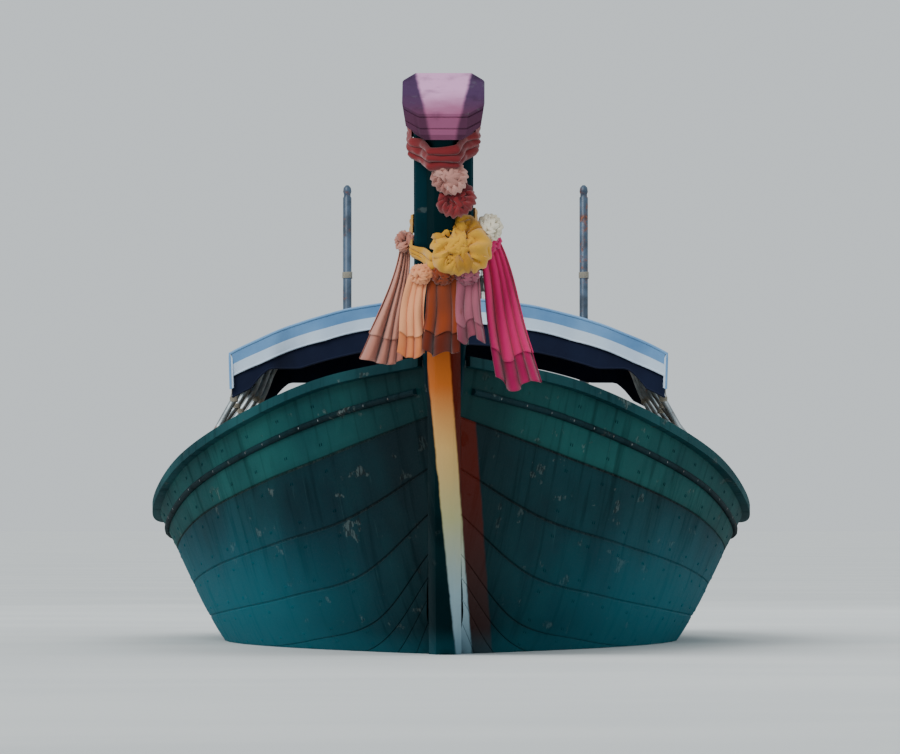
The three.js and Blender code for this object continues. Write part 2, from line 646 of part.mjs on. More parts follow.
function addSternGear() {
  const deckTop = RISER.top + STERN_DECK.thick;
  const beamTop = 545;
  const beamYs = [PIVOT.y - 90, PIVOT.y + 90];
  piece('engine_beam', boardWithin(inside, beamYs, [deckTop + FIT, beamTop]), 'bareWood');
  const { top, post, flange } = PEDESTAL;
  const plate = toSolid(block([-150, 150], [PIVOT.y - 85, PIVOT.y + 85], [beamTop + FIT, beamTop + 14]));
  const column = toSolid(rod(V(0, PIVOT.y, beamTop + 10), V(0, PIVOT.y, top), post, 20));
  const bearing = toSolid(rod(V(0, PIVOT.y, top - 16), V(0, PIVOT.y, top), flange, 20));
  piece('engine_pedestal', toGeometry(joined(plate, column, bearing)), 'paintedSteel');

  const tank = toSolid(block([-560, -260], [3080, 3300], [deckTop + FIT, deckTop + 270]));
  const cap = toSolid(rod(V(-480, 3190, deckTop + 260), V(-480, 3190, deckTop + 305), 34, 16));
  piece('fuel_tank', toGeometry(tank.add(cap)), 'tankPlastic');
}

// The swivel and the motor on it

const PIN = { radius: 18.9, bore: 19.5 };
const RAILS = { inner: 130, outer: 160, fore: -380, aft: 300, low: -30, high: 18 };
const PIN_Y = 240; // the tilt axis, behind the middle of the engine so that it balances the tail
const ARM = { inner: 174, outer: 206, half: 42 };

function addSwivel() {
  const swivel = new THREE.Group();
  swivel.position.set(0, PIVOT.y, 0);
  boat.add(swivel);
  const base = PEDESTAL.top + RUNNING;
  const turntable = toSolid(rod(V(0, 0, base), V(0, 0, base + 18), PEDESTAL.flange + 6, 20));
  const bridge = toSolid(block([-ARM.outer, ARM.outer], [-ARM.half, ARM.half], [base + 10, base + 42]));
  const arms = [1, -1].map((side) => {
    const xs = [side * ARM.inner, side * ARM.outer].sort((a, b) => a - b);
    const upright = toSolid(block(xs, [-ARM.half, ARM.half], [base + 12, PIVOT.z]));
    const boss = toSolid(rod(V(xs[0], 0, PIVOT.z), V(xs[1], 0, PIVOT.z), ARM.half, 20));
    return upright.add(boss);
  });
  const bores = toSolid(rod(V(-250, 0, PIVOT.z), V(250, 0, PIVOT.z), PIN.bore, 20));
  const yoke = joined(turntable, bridge, ...arms).subtract(bores);
  piece('swivel_yoke', toGeometry(yoke), 'paintedSteel', swivel);
}

// Three pulleys and the belt round them, between two places along the crankshaft.
function beltDrive(ys) {
  const pulleys = [[0, SHAFT.z, 74], [30, 270, 52], [168, 222, 38]]; // x, z, radius
  const solids = pulleys.map(([x, z, r]) => toSolid(rod(V(x, ys[0], z), V(x, ys[1], z), r, 24)));
  const [y0, y1] = [ys[0] + 8, ys[1] - 8];
  const corners = pulleys.map(([x, z, r]) => spaced(0, 2 * Math.PI, 16).map((a) => (
    new THREE.Vector2(x + (r + 4) * Math.cos(a), z + (r + 4) * Math.sin(a)))));
  const outline = convexOutline(corners.flat());
  const inner = convexOutline(pulleys.flatMap(([x, z, r]) => spaced(0, 2 * Math.PI, 16).map((a) => (
    new THREE.Vector2(x + (r - 3) * Math.cos(a), z + (r - 3) * Math.sin(a))))));
  const ring = (points, y) => points.map((p) => V(p.x, y, p.y));
  const belt = toSolid(loft([ring(outline, y0), ring(outline, y1)]))
    .subtract(toSolid(loft([ring(inner, y0 - 5), ring(inner, y1 + 5)])));
  return joined(...solids, belt);
}

// The corners of the smallest convex outline round flat points.
function convexOutline(points) {
  const sorted = [...points].sort((p, q) => p.x - q.x || p.y - q.y);
  const turnsLeft = (o, a, b) => (a.x - o.x) * (b.y - o.y) - (a.y - o.y) * (b.x - o.x) > 1e-6;
  const chain = (list) => list.reduce((kept, p) => {
    while (kept.length > 1 && !turnsLeft(kept[kept.length - 2], kept[kept.length - 1], p)) kept.pop();
    return [...kept, p];
  }, []);
  const [lower, upper] = [chain(sorted), chain([...sorted].reverse())];
  return [...lower.slice(0, -1), ...upper.slice(0, -1)];
}

function addMotor() {
  const motor = new THREE.Group();
  motor.position.set(0, PIVOT.y, PIVOT.z);
  motor.rotation.x = -degrees(TAIL_ANGLE);
  boat.add(motor);
  const bed = new THREE.Group();
  bed.position.y = -PIN_Y;
  motor.add(bed);
  const add = (name, solid, finish) => piece(name, toGeometry(solid), finish, bed);

  const rails = [1, -1].map((side) => {
    const xs = [side * RAILS.inner, side * RAILS.outer].sort((a, b) => a - b);
    return toSolid(block(xs, [RAILS.fore, RAILS.aft], [RAILS.low, RAILS.high]));
  });
  const crossbars = [RAILS.fore, -190, 90].map((y) => (
    toSolid(block([-RAILS.outer, RAILS.outer], [y, y + 50], [RAILS.low, RAILS.high]))));
  const pins = [1, -1].map((side) => {
    const [from, to] = [V(side * (RAILS.outer - 5), PIN_Y, 0), V(side * (ARM.outer + 10), PIN_Y, 0)];
    return toSolid(rod(from, to, PIN.radius, 20));
  });
  add('engine_cradle', joined(...rails, ...crossbars, ...pins), 'paintedSteel');

  const seat = RAILS.high + FIT;
  const crankcase = toSolid(block([-112, 112], [-320, 140], [seat, 160]));
  const bank = toSolid(block([-88, 88], [-320, 140], [150, 300]));
  add('engine_block', crankcase.add(bank), 'castIron');

  const headFlange = toSolid(block([-96, 96], [-316, 136], [300 + FIT, 344]));
  const cover = toSolid(rod(V(0, -300, 366), V(0, 120, 366), 62, 20));
  add('cylinder_head', joined(headFlange, cover), 'brightMetal');

  const bell = toSolid(rod(V(0, 140 + FIT, SHAFT.z + 8), V(0, 262, SHAFT.z + 8), 118, 24, 96));
  const box = toSolid(rod(V(0, 250, SHAFT.z), V(0, SHAFT.start, SHAFT.z), 78, 24, 60));
  const tubeStart = SHAFT.start + 24;
  const flange = toSolid(rod(V(0, SHAFT.start - 2, SHAFT.z), V(0, tubeStart, SHAFT.z), 58, 24));
  add('gearbox', joined(bell, box, flange), 'brightMetal');

  const drive = beltDrive([-356, -320 - FIT]);
  add('belt_drive', drive, 'rubber');
  const alternator = toSolid(rod(V(168, -320, 222), V(168, -180, 222), 50, 20));
  const bracket = toSolid(block([112 + FIT, 170], [-300, -240], [60, 200]));
  add('alternator', alternator.add(bracket), 'brightMetal');

  const neck = toSolid(rod(V(10, -90, 428 + FIT), V(10, -90, 452), 34, 16));
  const drum = toSolid(rod(V(10, -90, 445), V(10, -90, 520), 104, 24));
  add('air_cleaner', neck.add(drum), 'paintedSteel');

  const manifold = toSolid(block([-150, -96 - FIT], [-290, 110], [302, 342]));
  const pipe = toSolid(bentRod([
    V(-135, -60, 322), V(-165, -60, 322), V(-205, -50, 290), V(-222, 0, 232), V(-222, 110, 205),
    V(-222, 290, 195),
  ], 25, 18, 12));
  add('exhaust', manifold.add(pipe), 'steel');

  const grip = toSolid(rod(V(0, -966, -58), V(0, -1160, -70), 22, 14));
  const bend = [
    V(0, RAILS.fore - FIT, -6), V(0, -470, -6), V(0, -640, -14), V(0, -820, -36), V(0, -970, -58),
  ];
  add('tiller', toSolid(bentRod(bend, 17, 12, 12)).add(grip), 'steel');

  const tube = toSolid(rod(V(0, tubeStart + FIT, SHAFT.z), V(0, SHAFT.end, SHAFT.z), SHAFT.tube, 16));
  const bearing = toSolid(rod(V(0, SHAFT.end - 150, SHAFT.z), V(0, SHAFT.end, SHAFT.z), SHAFT.tube + 9, 16));
  add('tail_tube', tube.add(bearing), 'steel');

  const under = SHAFT.z - SHAFT.tube;
  const brace = toSolid(rod(V(0, SHAFT.start + 40, under - 62), V(0, 2100, under - 62), 10, 8));
  const stays = [SHAFT.start + 60, 1250, 2080].map((y) => (
    toSolid(block([-8, 8], [y - 24, y + 24], [under - 62, under - FIT]))));
  add('tail_brace', joined(brace, ...stays), 'steel');

  const finTop = SHAFT.z - SHAFT.tube - 9 - FIT;
  const web = toSolid(block([-6, 6], [SHAFT.end - 140, SHAFT.end - 30], [-72, finTop]));
  const shoe = toSolid(block([-9, 9], [SHAFT.end - 140, SHAFT.end + 210], [-72, -56]));
  add('propeller_guard', web.add(shoe), 'steel');

  addPropeller(bed);
}

function addPropeller(bed) {
  const [start, end] = [SHAFT.end + RUNNING, SHAFT.end + PROPELLER.length];
  const hub = toSolid(rod(V(0, start, 0), V(0, end, 0), PROPELLER.hub, 20, PROPELLER.hub - 6));
  const nose = toSolid(rod(V(0, end - 2, 0), V(0, end + 34, 0), PROPELLER.hub - 8, 20, 10));
  const middle = (start + end) / 2;
  const sections = [
    // radius, half chord, pitch angle, half thickness
    [22, 34, 58, 7], [70, 52, 38, 5], [112, 50, 28, 4], [PROPELLER.radius, 20, 24, 3],
  ];
  const blade = loft(sections.map(([radius, halfChord, pitch, halfThick]) => {
    const [along, across] = [Math.sin(degrees(pitch)), Math.cos(degrees(pitch))];
    const corner = (c, t) => V(c * across - t * along, middle + c * along + t * across, radius);
    return [corner(-halfChord, 0), corner(-halfChord / 2, -halfThick), corner(halfChord / 2, -halfThick),
      corner(halfChord, 0), corner(halfChord / 2, halfThick), corner(-halfChord / 2, halfThick)];
  }));
  const blades = Array.from({ length: PROPELLER.blades }, (_, k) => (
    toSolid(blade.clone().rotateY((2 * Math.PI * k) / PROPELLER.blades))));
  const rotor = piece('propeller', toGeometry(joined(hub, nose, ...blades)), 'bronze', bed);
  rotor.position.z = SHAFT.z;
}

addPlanking();
addTransom();
addBackbone();
addProw();
addGunwales();
addDecks();
addCanopy();
addProwCloth();
addSternGear();
addSwivel();
addMotor();

export default boat;
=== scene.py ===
"""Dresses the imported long-tail boat: planking, prow, cloths, canopy, decks and motor.

Everything is in metres in the boat's own frame: -Y is towards the bow, +X is to port, +Z is up,
and the water's surface is at z = 0.
"""

import logging
import math
import random
from dataclasses import dataclass, field
from enum import Enum
from typing import Callable, Iterable, Sequence, Union

import bmesh
import bpy
import numpy as np
from mathutils import Matrix, Vector

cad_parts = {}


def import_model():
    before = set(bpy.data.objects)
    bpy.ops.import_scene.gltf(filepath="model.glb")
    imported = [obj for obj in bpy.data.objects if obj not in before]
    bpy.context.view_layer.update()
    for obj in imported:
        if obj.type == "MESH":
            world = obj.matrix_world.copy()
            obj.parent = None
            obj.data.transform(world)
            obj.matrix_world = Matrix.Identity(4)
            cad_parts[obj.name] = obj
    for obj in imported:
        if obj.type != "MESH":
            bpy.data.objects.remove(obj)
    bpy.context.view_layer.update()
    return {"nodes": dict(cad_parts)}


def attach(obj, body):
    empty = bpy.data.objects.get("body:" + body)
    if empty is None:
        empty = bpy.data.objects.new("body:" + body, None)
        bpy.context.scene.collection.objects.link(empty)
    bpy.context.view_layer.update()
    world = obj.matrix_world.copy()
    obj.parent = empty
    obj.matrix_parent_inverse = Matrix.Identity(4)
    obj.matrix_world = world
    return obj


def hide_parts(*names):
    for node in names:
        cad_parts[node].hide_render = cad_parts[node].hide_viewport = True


LOG = logging.getLogger("boat")

Number = Union[int, float]
Point = Sequence[float]
Pair = tuple[float, float]

# The distance that a solid stands off the one it rests on
FIT = 0.0004
UP = (0, 0, 1)
AFT = (0, 1, 0)


# Shader expressions


def tint(code: str) -> tuple[float, float, float, float]:
    """Turns a display colour into the linear colour that shaders take.

    Args:
        code: the colour, such as "#1e4a50".
    Returns:
        Red, green, blue and alpha.
    """
    parts = [int(code[k : k + 2], 16) / 255 for k in (1, 3, 5)]
    linear = [c / 12.92 if c <= 0.04045 else ((c + 0.055) / 1.055) ** 2.4 for c in parts]
    return (*linear, 1.0)


Term = Union["Value", Number]


class Value:
    """A number that varies over a surface; arithmetic on it adds Math nodes."""

    def __init__(self, surface: "Surface", socket: bpy.types.NodeSocket) -> None:
        """Wraps an output socket of the surface's node tree."""
        self.surface = surface
        self.socket = socket

    def _math(self, operation: str, *operands: Term) -> "Value":
        """Adds one Math node.

        Args:
            operation: what the node does.
            operands: its inputs, in order.
        Returns:
            Its result.
        """
        settings = {"operation": operation}
        node = self.surface.node("ShaderNodeMath", settings, dict(enumerate(operands)))
        return Value(self.surface, node.outputs[0])

    def __add__(self, other: Term) -> "Value":
        """Returns the sum."""
        return self._math("ADD", self, other)

    __radd__ = __add__

    def __sub__(self, other: Term) -> "Value":
        """Returns the difference."""
        return self._math("SUBTRACT", self, other)

    def __rsub__(self, other: Term) -> "Value":
        """Returns the difference with the operands the other way round."""
        return self._math("SUBTRACT", other, self)

    def __mul__(self, other: Term) -> "Value":
        """Returns the product."""
        return self._math("MULTIPLY", self, other)

    __rmul__ = __mul__

    def __truediv__(self, other: Term) -> "Value":
        """Returns the quotient."""
        return self._math("DIVIDE", self, other)

    def __abs__(self) -> "Value":
        """Returns the absolute value."""
        return self._math("ABSOLUTE", self)

    def larger(self, other: Term) -> "Value":
        """Returns the larger of the two."""
        return self._math("MAXIMUM", self, other)

    def sine(self) -> "Value":
        """Returns the sine of the value in radians."""
        return self._math("SINE", self)

    def rise(self, low: Number, high: Number) -> "Value":
        """Makes a smooth step.

        Args:
            low: the value where the step starts at 0.
            high: the value where it reaches 1, which may be the smaller of the two.
        Returns:
            The step.
        """
        flip = low > high
        node = self.surface.node(
            "ShaderNodeMapRange",
            {"interpolation_type": "SMOOTHSTEP"},
            {"Value": self, "From Min": min(low, high), "From Max": max(low, high)},
        )
        step = Value(self.surface, node.outputs[0])
        return 1 - step if flip else step


Colour = Union[str, bpy.types.NodeSocket]


class Surface:
    """A material whose node tree is built from expressions on object coordinates."""

    def __init__(self, name: str) -> None:
        """Starts a material with one shader.

        Args:
            name: the material's name.
        """
        self.material = bpy.data.materials.new(name)
        self.material.use_nodes = True
        self.tree = self.material.node_tree
        self.tree.nodes.clear()
        self.shader = self.node("ShaderNodeBsdfPrincipled")
        self.node("ShaderNodeOutputMaterial", {}, {"Surface": self.shader.outputs[0]})
        self.place = self.node("ShaderNodeTexCoord").outputs["Object"]
        axes = self.node("ShaderNodeSeparateXYZ", {}, {0: self.place})
        self.x, self.y, self.z = (Value(self, axes.outputs[k]) for k in range(3))

    def _set(self, socket: bpy.types.NodeSocket, value: object) -> None:
        """Links or sets a socket.

        Args:
            socket: the socket.
            value: a value or socket to link, or else a number, a vector or a colour code.
        """
        if isinstance(value, Value):
            value = value.socket
        if isinstance(value, bpy.types.NodeSocket):
            self.tree.links.new(value, socket)
        else:
            socket.default_value = tint(value) if isinstance(value, str) else value

    def node(
        self, kind: str, settings: dict | None = None, inputs: dict | None = None
    ) -> bpy.types.Node:
        """Adds a node.

        Args:
            kind: the node's type.
            settings: attributes of the node, set first; "stops" are those of a colour ramp.
            inputs: values or links of its sockets, by name or number.
        Returns:
            The new node.
        """
        node = self.tree.nodes.new(kind)
        for key, value in (settings or {}).items():
            if key == "stops":
                ramp = node.color_ramp.elements
                while len(ramp) < len(value):
                    ramp.new(0.5)
                for stop, (position, colour) in zip(ramp, value):
                    stop.position, stop.color = position, tint(colour)
            else:
                setattr(node, key, value)
        for key, value in (inputs or {}).items():
            self._set(node.inputs[key], value)
        return node

    def stretched(self, scale: Point) -> bpy.types.NodeSocket:
        """Returns the coordinates multiplied along each axis, so that patterns stretch."""
        settings, inputs = {"operation": "MULTIPLY"}, {0: self.place, 1: tuple(scale)}
        return self.node("ShaderNodeVectorMath", settings, inputs).outputs[0]

    def noise(
        self, scale: Number, detail: Number = 4, stretch: Point | None = None, rough: Number = 0.55
    ) -> Value:
        """Returns fractal noise.

        Args:
            scale: how many features there are to a metre.
            detail: how many finer octaves it has.
            stretch: factors on the axes, below 1 where features run long.
            rough: the weight of the finer octaves.
        Returns:
            A value around 0.5.
        """
        vector = self.stretched(stretch) if stretch else self.place
        inputs = {"Vector": vector, "Scale": scale, "Detail": detail, "Roughness": rough}
        return Value(self, self.node("ShaderNodeTexNoise", {}, inputs).outputs[0])

    def attribute(self, name: str) -> Value:
        """Returns a number that is stored on the mesh."""
        node = self.node("ShaderNodeAttribute", {"attribute_name": name})
        return Value(self, node.outputs["Fac"])

    def mix(self, share: Term, low: Colour, high: Colour) -> bpy.types.NodeSocket:
        """Returns a mix of two colours; a share of 0 gives the first one, 1 the second one."""
        inputs = {0: share, 6: low, 7: high}
        return self.node("ShaderNodeMix", {"data_type": "RGBA"}, inputs).outputs[2]

    def ramp(self, value: Value, *stops: tuple[float, str]) -> bpy.types.NodeSocket:
        """Returns a colour that follows a value through stops of position and colour."""
        return self.node("ShaderNodeValToRGB", {"stops": stops}, {0: value}).outputs[0]

    def relief(self, height: Value, depth: Number, strength: Number) -> bpy.types.NodeSocket:
        """Returns a normal raised by a height that is worth depth metres."""
        inputs = {"Height": height, "Distance": depth, "Strength": strength}
        return self.node("ShaderNodeBump", {}, inputs).outputs[0]

    def finish(self, **sockets: object) -> bpy.types.Material:
        """Sets the shader's sockets by name, with spaces written as underscores.

        Args:
            sockets: values or links; a colour may be a code.
        Returns:
            The material.
        """
        for key, value in sockets.items():
            self._set(self.shader.inputs[key.replace("_", " ")], value)
        return self.material


# Finishes


class Grain(Enum):
    """Which way the wood's grain runs, as stretch factors of its pattern."""

    FORE_AFT = (22.0, 1.1, 22.0)
    ATHWART = (1.1, 22.0, 22.0)
    UPRIGHT = (22.0, 22.0, 1.1)


@dataclass(frozen=True)
class BareWood:
    """Weathered unpainted hardwood, with tone changes from board to board."""

    name: str
    dark: str
    light: str
    grain: Grain = Grain.FORE_AFT
    wear: float = 0.4

    def material(self) -> bpy.types.Material:
        """Returns the wood's material."""
        s = Surface(self.name)
        board = s.attribute("shade")
        rings = s.noise(1.3, 3, self.grain.value)
        fibre = s.noise(9, 5, self.grain.value, 0.7)
        tone = (rings * 0.75 + fibre * 0.35 + board * 0.45 - 0.25).rise(0.05, 0.95)
        colour = s.mix(tone, self.dark, self.light)
        grey = s.noise(2.2, 5).rise(0.42, 0.72) * self.wear
        colour = s.mix(grey, colour, "#8d867b")
        stain = s.noise(5, 6).rise(0.56, 0.7) * 0.55
        colour = s.mix(stain, colour, "#2d241c")
        checks = s.noise(16, 2, self.grain.value).rise(0.66, 0.72)
        colour = s.mix(checks * 0.7, colour, "#1f1712")
        height = fibre * 0.6 - checks * 1.2
        rough = 0.62 + fibre * 0.25
        return s.finish(Base_Color=colour, Roughness=rough, Normal=s.relief(height, 0.0025, 0.7))


@dataclass(frozen=True)
class PaintedWood:
    """Brushed paint on planks: faded, stained, chipped along seams down to primer and wood.

    The field dim darkens the planks beside the stem, and gloss is the shine at grazing angles.
    """

    name: str
    coat: str
    faded: str
    primer: str = "#7f8a86"
    grain: Grain = Grain.FORE_AFT
    chips: float = 0.5
    waterline: bool = False
    gloss: float = 0.005
    dim: float = 0.0

    def colour(self, s: Surface) -> bpy.types.NodeSocket:
        """Returns the paint's own colour before its wear."""
        patches = s.noise(1.4, 5, (1, 0.45, 1))
        return s.mix(patches.rise(0.38, 0.68), self.coat, self.faded)

    def material(self) -> bpy.types.Material:
        """Returns the paint's material."""
        s = Surface(self.name)
        seam, board = s.attribute("seam"), s.attribute("shade")
        fibre = s.noise(7, 5, self.grain.value, 0.65)
        colour = self.colour(s)
        colour = s.mix(board * 0.22, colour, self.faded)
        streaks = s.noise(3.2, 5, (3.4, 3.4, 0.35)).rise(0.5, 0.74)
        colour = s.mix(streaks * 0.4, colour, "#060b0c")
        runs = s.noise(6, 4, (3, 3, 0.22)).rise(0.64, 0.76)
        colour = s.mix(runs * 0.08, colour, "#5f8c8c")
        scuff = s.noise(11, 6, (1, 0.3, 1.4)).rise(0.62, 0.67) * self.chips
        edge = (s.noise(34, 4) * 0.8 + seam * 0.5).rise(0.84, 0.94) * self.chips
        bare = scuff.larger(edge)
        under = s.mix(s.noise(40, 3).rise(0.45, 0.55), self.primer, "#3c2e24")
        colour = s.mix(bare * 0.55, colour, under)
        colour = s.mix(seam * 0.7, colour, "#040708")
        rough = 0.46 + fibre * 0.16 + bare * 0.3 + streaks * 0.12
        if self.dim:
            colour = s.mix(s.y.rise(-3.0, -4.8) * self.dim, colour, "#020d10")
        if self.waterline:
            colour = self.bow_bands(s, colour)
            # Painted reflection: the lower flanks away from the keel are lighter teal, as if lit by
            # light off the water
            flank = (s.z + s.noise(2, 4) * 0.2).rise(0.66, 0.2) * abs(s.x).rise(0.05, 0.85)
            colour = s.mix(flank * 0.66, colour, "#1d6e7d")
            # Painted reflection: a lighter teal band just above the waterline
            reflected_band = (s.z + s.noise(3, 4) * 0.06).rise(0.13, 0.03)
            colour = s.mix(reflected_band * 0.3, colour, "#1d6472")
            weed = (s.z + s.noise(9, 5) * 0.05).rise(0.035, -0.01)
            colour = s.mix(weed * 0.75, colour, "#1c2a1d")
            rough = rough + weed * 0.3
        height = fibre * 0.25 + s.noise(60, 2) * 0.1 - bare * 0.55
        normal = s.relief(height, 0.003, 0.55)
        return s.finish(
            Base_Color=colour, Roughness=rough, Normal=normal, Specular_IOR_Level=self.gloss
        )

    @staticmethod
    def bow_bands(s: Surface, colour: bpy.types.NodeSocket) -> bpy.types.NodeSocket:
        """Adds the leaning pale stripe on the stem, and the dark red to port of it.

        Args:
            s: the surface that takes the nodes.
            colour: the colour under the bands.
        Returns:
            The colour with both bands.
        """
        edge, reach = 0.004, 1.25
        place, drop = s.x + s.noise(14, 3) * 0.008 - 0.004, 1 - s.z
        right, left = place - drop * 0.070 - 0.020, place - drop * 0.095 + 0.058
        ahead = s.y.rise(-3.1, -3.25) * s.z.rise(1.12, 1.04)
        stops = (
            (0.0, "#76909f"), (0.2, "#8ca5ae"), (0.4, "#a9a67a"),
            (0.58, "#c9a062"), (0.76, "#b8622a"), (1.0, "#5a1f10"),
        )
        pale = s.ramp((s.z + s.noise(4, 3) * 0.08) / reach, *stops)
        red = s.mix(s.z.rise(0.15, 0.7), "#33201e", "#4a140b")
        colour = s.mix(right.rise(-edge, edge) * right.rise(0.074, 0.064) * ahead, colour, red)
        return s.mix(left.rise(-edge, edge) * right.rise(edge, -edge) * ahead, colour, pale)


@dataclass(frozen=True)
class HeadPaint(PaintedWood):
    """The prow head: a pale pink front that narrows downwards, violet sides, dark red below."""

    def colour(self, s: Surface) -> bpy.types.NodeSocket:
        """Mixes the head's colours by height and distance from the centreline.

        Args:
            s: the surface that takes the nodes.
        Returns:
            The colour.
        """
        foot, tall = 1.755, 0.18
        height = (s.z - foot) / tall
        side = (abs(s.x) + s.noise(18, 3) * 0.012 - height * 0.040 - 0.006).rise(0.044, 0.060)
        front = s.mix((height + s.noise(9, 3) * 0.3).rise(0.25, 0.85), "#8d4a68", "#d39cc4")
        flank = s.mix((height + s.noise(7, 3) * 0.3).rise(0.2, 0.75), "#3c1226", "#221338")
        return s.mix(side, front, flank)


@dataclass(frozen=True)
class Metal:
    """Metal that is galvanised, cast, painted or polished, with rust where it has any."""

    name: str
    base: str
    other: str
    metallic: float = 1.0
    rough: float = 0.42
    rust: float = 0.15
    scale: float = 16.0
    cast: float = 0.0

    def material(self) -> bpy.types.Material:
        """Returns the metal's material."""
        s = Surface(self.name)
        mottle = s.noise(self.scale, 5)
        colour = s.mix(mottle.rise(0.35, 0.65), self.base, self.other)
        grime = s.noise(self.scale * 0.4, 6, None, 0.7).rise(0.5, 0.68)
        colour = s.mix(grime * 0.4, colour, "#1c1a17")
        blotches = s.noise(self.scale * 1.9, 6, None, 0.72) * 0.75 + s.noise(3, 3) * 0.35
        spots = blotches.rise(0.66 - self.rust * 0.3, 0.72) * min(1.0, self.rust * 3)
        rust = s.mix(s.noise(90, 3).rise(0.4, 0.6), "#4a2412", "#8a4a22")
        colour = s.mix(spots, colour, rust)
        height = s.noise(150, 3) * (0.2 + self.cast) + spots * 0.8
        return s.finish(
            Base_Color=colour,
            Metallic=(1 - spots) * self.metallic,
            Roughness=self.rough + grime * 0.22 + spots * 0.35,
            Normal=s.relief(height, 0.0008, 0.5),
        )


@dataclass(frozen=True)
class Moulded:
    """Plastic or rubber with scuffs and dust."""

    name: str
    base: str
    worn: str
    rough: float = 0.5

    def material(self) -> bpy.types.Material:
        """Returns the plastic's material."""
        s = Surface(self.name)
        colour = s.mix(s.noise(7, 5).rise(0.4, 0.7), self.base, self.worn)
        dust = s.noise(3, 5).rise(0.5, 0.75) * 0.3
        colour = s.mix(dust, colour, "#8d887c")
        scratch = s.noise(12, 2, (1, 14, 14)).rise(0.68, 0.7)
        height = s.noise(260, 2) * 0.4 - scratch * 0.5
        rough = self.rough + dust * 0.5 + scratch * 0.1
        normal = s.relief(height, 0.0006, 0.5)
        return s.finish(Base_Color=colour, Roughness=rough, Normal=normal)


@dataclass(frozen=True)
class Cloth:
    """Woven cloth with sun-bleached patches, creases and soil."""

    name: str
    base: str
    pale: str
    threads: float = 420.0
    soil: str = "#2d2a26"
    dirt: float = 0.3
    sheen: float = 0.3

    def material(self) -> bpy.types.Material:
        """Returns the cloth's material."""
        s = Surface(self.name)
        bleach = s.noise(3.5, 4)
        shade = s.attribute("shade")
        colour = s.mix((bleach * 0.7 + shade * 0.5).rise(0.3, 0.75), self.base, self.pale)
        warp = (s.x * self.threads * math.tau).sine() + (s.y * self.threads * math.tau).sine()
        weft = (s.z * self.threads * math.tau).sine()
        weave = warp * 0.3 + weft * 0.35
        soil = s.noise(6, 6, (1, 1, 0.5)).rise(0.52, 0.78) * self.dirt
        colour = s.mix(soil, colour, self.soil)
        creases = s.noise(14, 5, None, 0.6)
        normal = s.relief(weave * 0.12 + creases, 0.003, 0.5)
        return s.finish(
            Base_Color=colour,
            Roughness=0.86,
            Normal=normal,
            Sheen_Weight=self.sheen,
            Specular_IOR_Level=0.1,
        )


FINISHES = {
    "hull": PaintedWood("hull_teal", "#041e26", "#0a383e", waterline=True, dim=0.75),
    "sheer": PaintedWood("sheer_green", "#0b3a3d", "#195654", dim=0.72),
    "lining": PaintedWood("inside_paint", "#274b4c", "#41635f", chips=0.7),
    "stem": PaintedWood(
        "stem_stripe", "#08232a", "#123a3f", "#7f8a86", Grain.UPRIGHT, 0.3, waterline=True, dim=0.75
    ),
    "post": PaintedWood("prow_dark", "#071d24", "#102f37", grain=Grain.UPRIGHT, chips=0.35),
    "head": HeadPaint("prow_head_paint", "#b07aa2", "#b588ae", grain=Grain.UPRIGHT, chips=0.2),
    "rail": PaintedWood("rail_green", "#0c343a", "#1c4f53", chips=0.6, dim=0.5),
    "trim": PaintedWood("rub_strip", "#06191e", "#0f2e34", chips=0.55),
    "frame": BareWood("frame_wood", "#4a3626", "#8a6c4c"),
    "deck": BareWood("deck_wood_long", "#5b4430", "#a98560", wear=0.55),
    "seat": BareWood("deck_wood_cross", "#5f4731", "#b08a62", Grain.ATHWART, 0.45),
    "post_wood": BareWood("bitt_wood", "#4f3826", "#8f6d4a", Grain.UPRIGHT),
    "canopy": Cloth("canopy_blue", "#3f6c9d", "#6f9bc6", 260, "#2c3a48", 0.3, 0.1),
    "hem": Cloth("canopy_hem", "#a5bdd8", "#c6d6e6", 260, "#5d6a78", 0.25, 0.1),
    # The cover's inside: a dark lining, made near black as painted shade under the cover
    "lining_and_shade_cloth": Cloth("canopy_lining_and_painted_shade", "#0a0f20", "#141c33", 260, "#05070c", 0.4, 0.1),
    "red": Cloth("cloth_red", "#561219", "#7c2427"),
    "rose": Cloth("cloth_rose", "#8f5a52", "#b8877c"),
    "yellow": Cloth("cloth_yellow", "#96610f", "#cb962c"),
    "cream": Cloth("cloth_cream", "#bdb39c", "#dcd3be"),
    "magenta": Cloth("cloth_magenta", "#8e0a44", "#cf2468"),
    "mauve": Cloth("cloth_mauve", "#6f2e3e", "#935060"),
    "orange": Cloth("cloth_orange", "#b9622f", "#dc9468"),
    "rust": Cloth("cloth_rust", "#4a1206", "#7d3213"),
    "salmon": Cloth("cloth_salmon", "#96594c", "#bd8270"),
    "tube": Metal("galvanised_tube", "#8b9498", "#a9b0b2", 1.0, 0.42, 0.2),
    "blue_steel": Metal("blue_paint_on_steel", "#2c3c4c", "#43566a", 0.15, 0.42, 0.28),
    "iron": Metal("cast_iron_grey", "#33383a", "#464b4c", 0.75, 0.58, 0.32, cast=0.6),
    "aluminium": Metal("cast_aluminium", "#9a9c9a", "#b6b7b3", 1.0, 0.4, 0.04, cast=0.4),
    "bronze": Metal("bronze", "#8d6a34", "#b08a4c", 1.0, 0.34, 0.03),
    "bolt": Metal("bolt_steel", "#6c6f70", "#8d9091", 1.0, 0.4, 0.4, 40),
    "dark": Moulded("black_plastic", "#141516", "#26282a", 0.5),
    "rubber": Moulded("black_rubber", "#101010", "#222222", 0.75),
    "tank": Moulded("tank_red", "#9c2a1e", "#b94a38", 0.42),
    "rope": Cloth("lashing_cord", "#6d675b", "#9a9382", 300),
}
_made: dict[str, bpy.types.Material] = {}


def finish(name: str) -> bpy.types.Material:
    """Makes a material on its first use.

    Args:
        name: the finish's short name.
    Returns:
        The material.
    """
    if name not in _made:
        _made[name] = FINISHES[name].material()
    return _made[name]


# Mesh forms


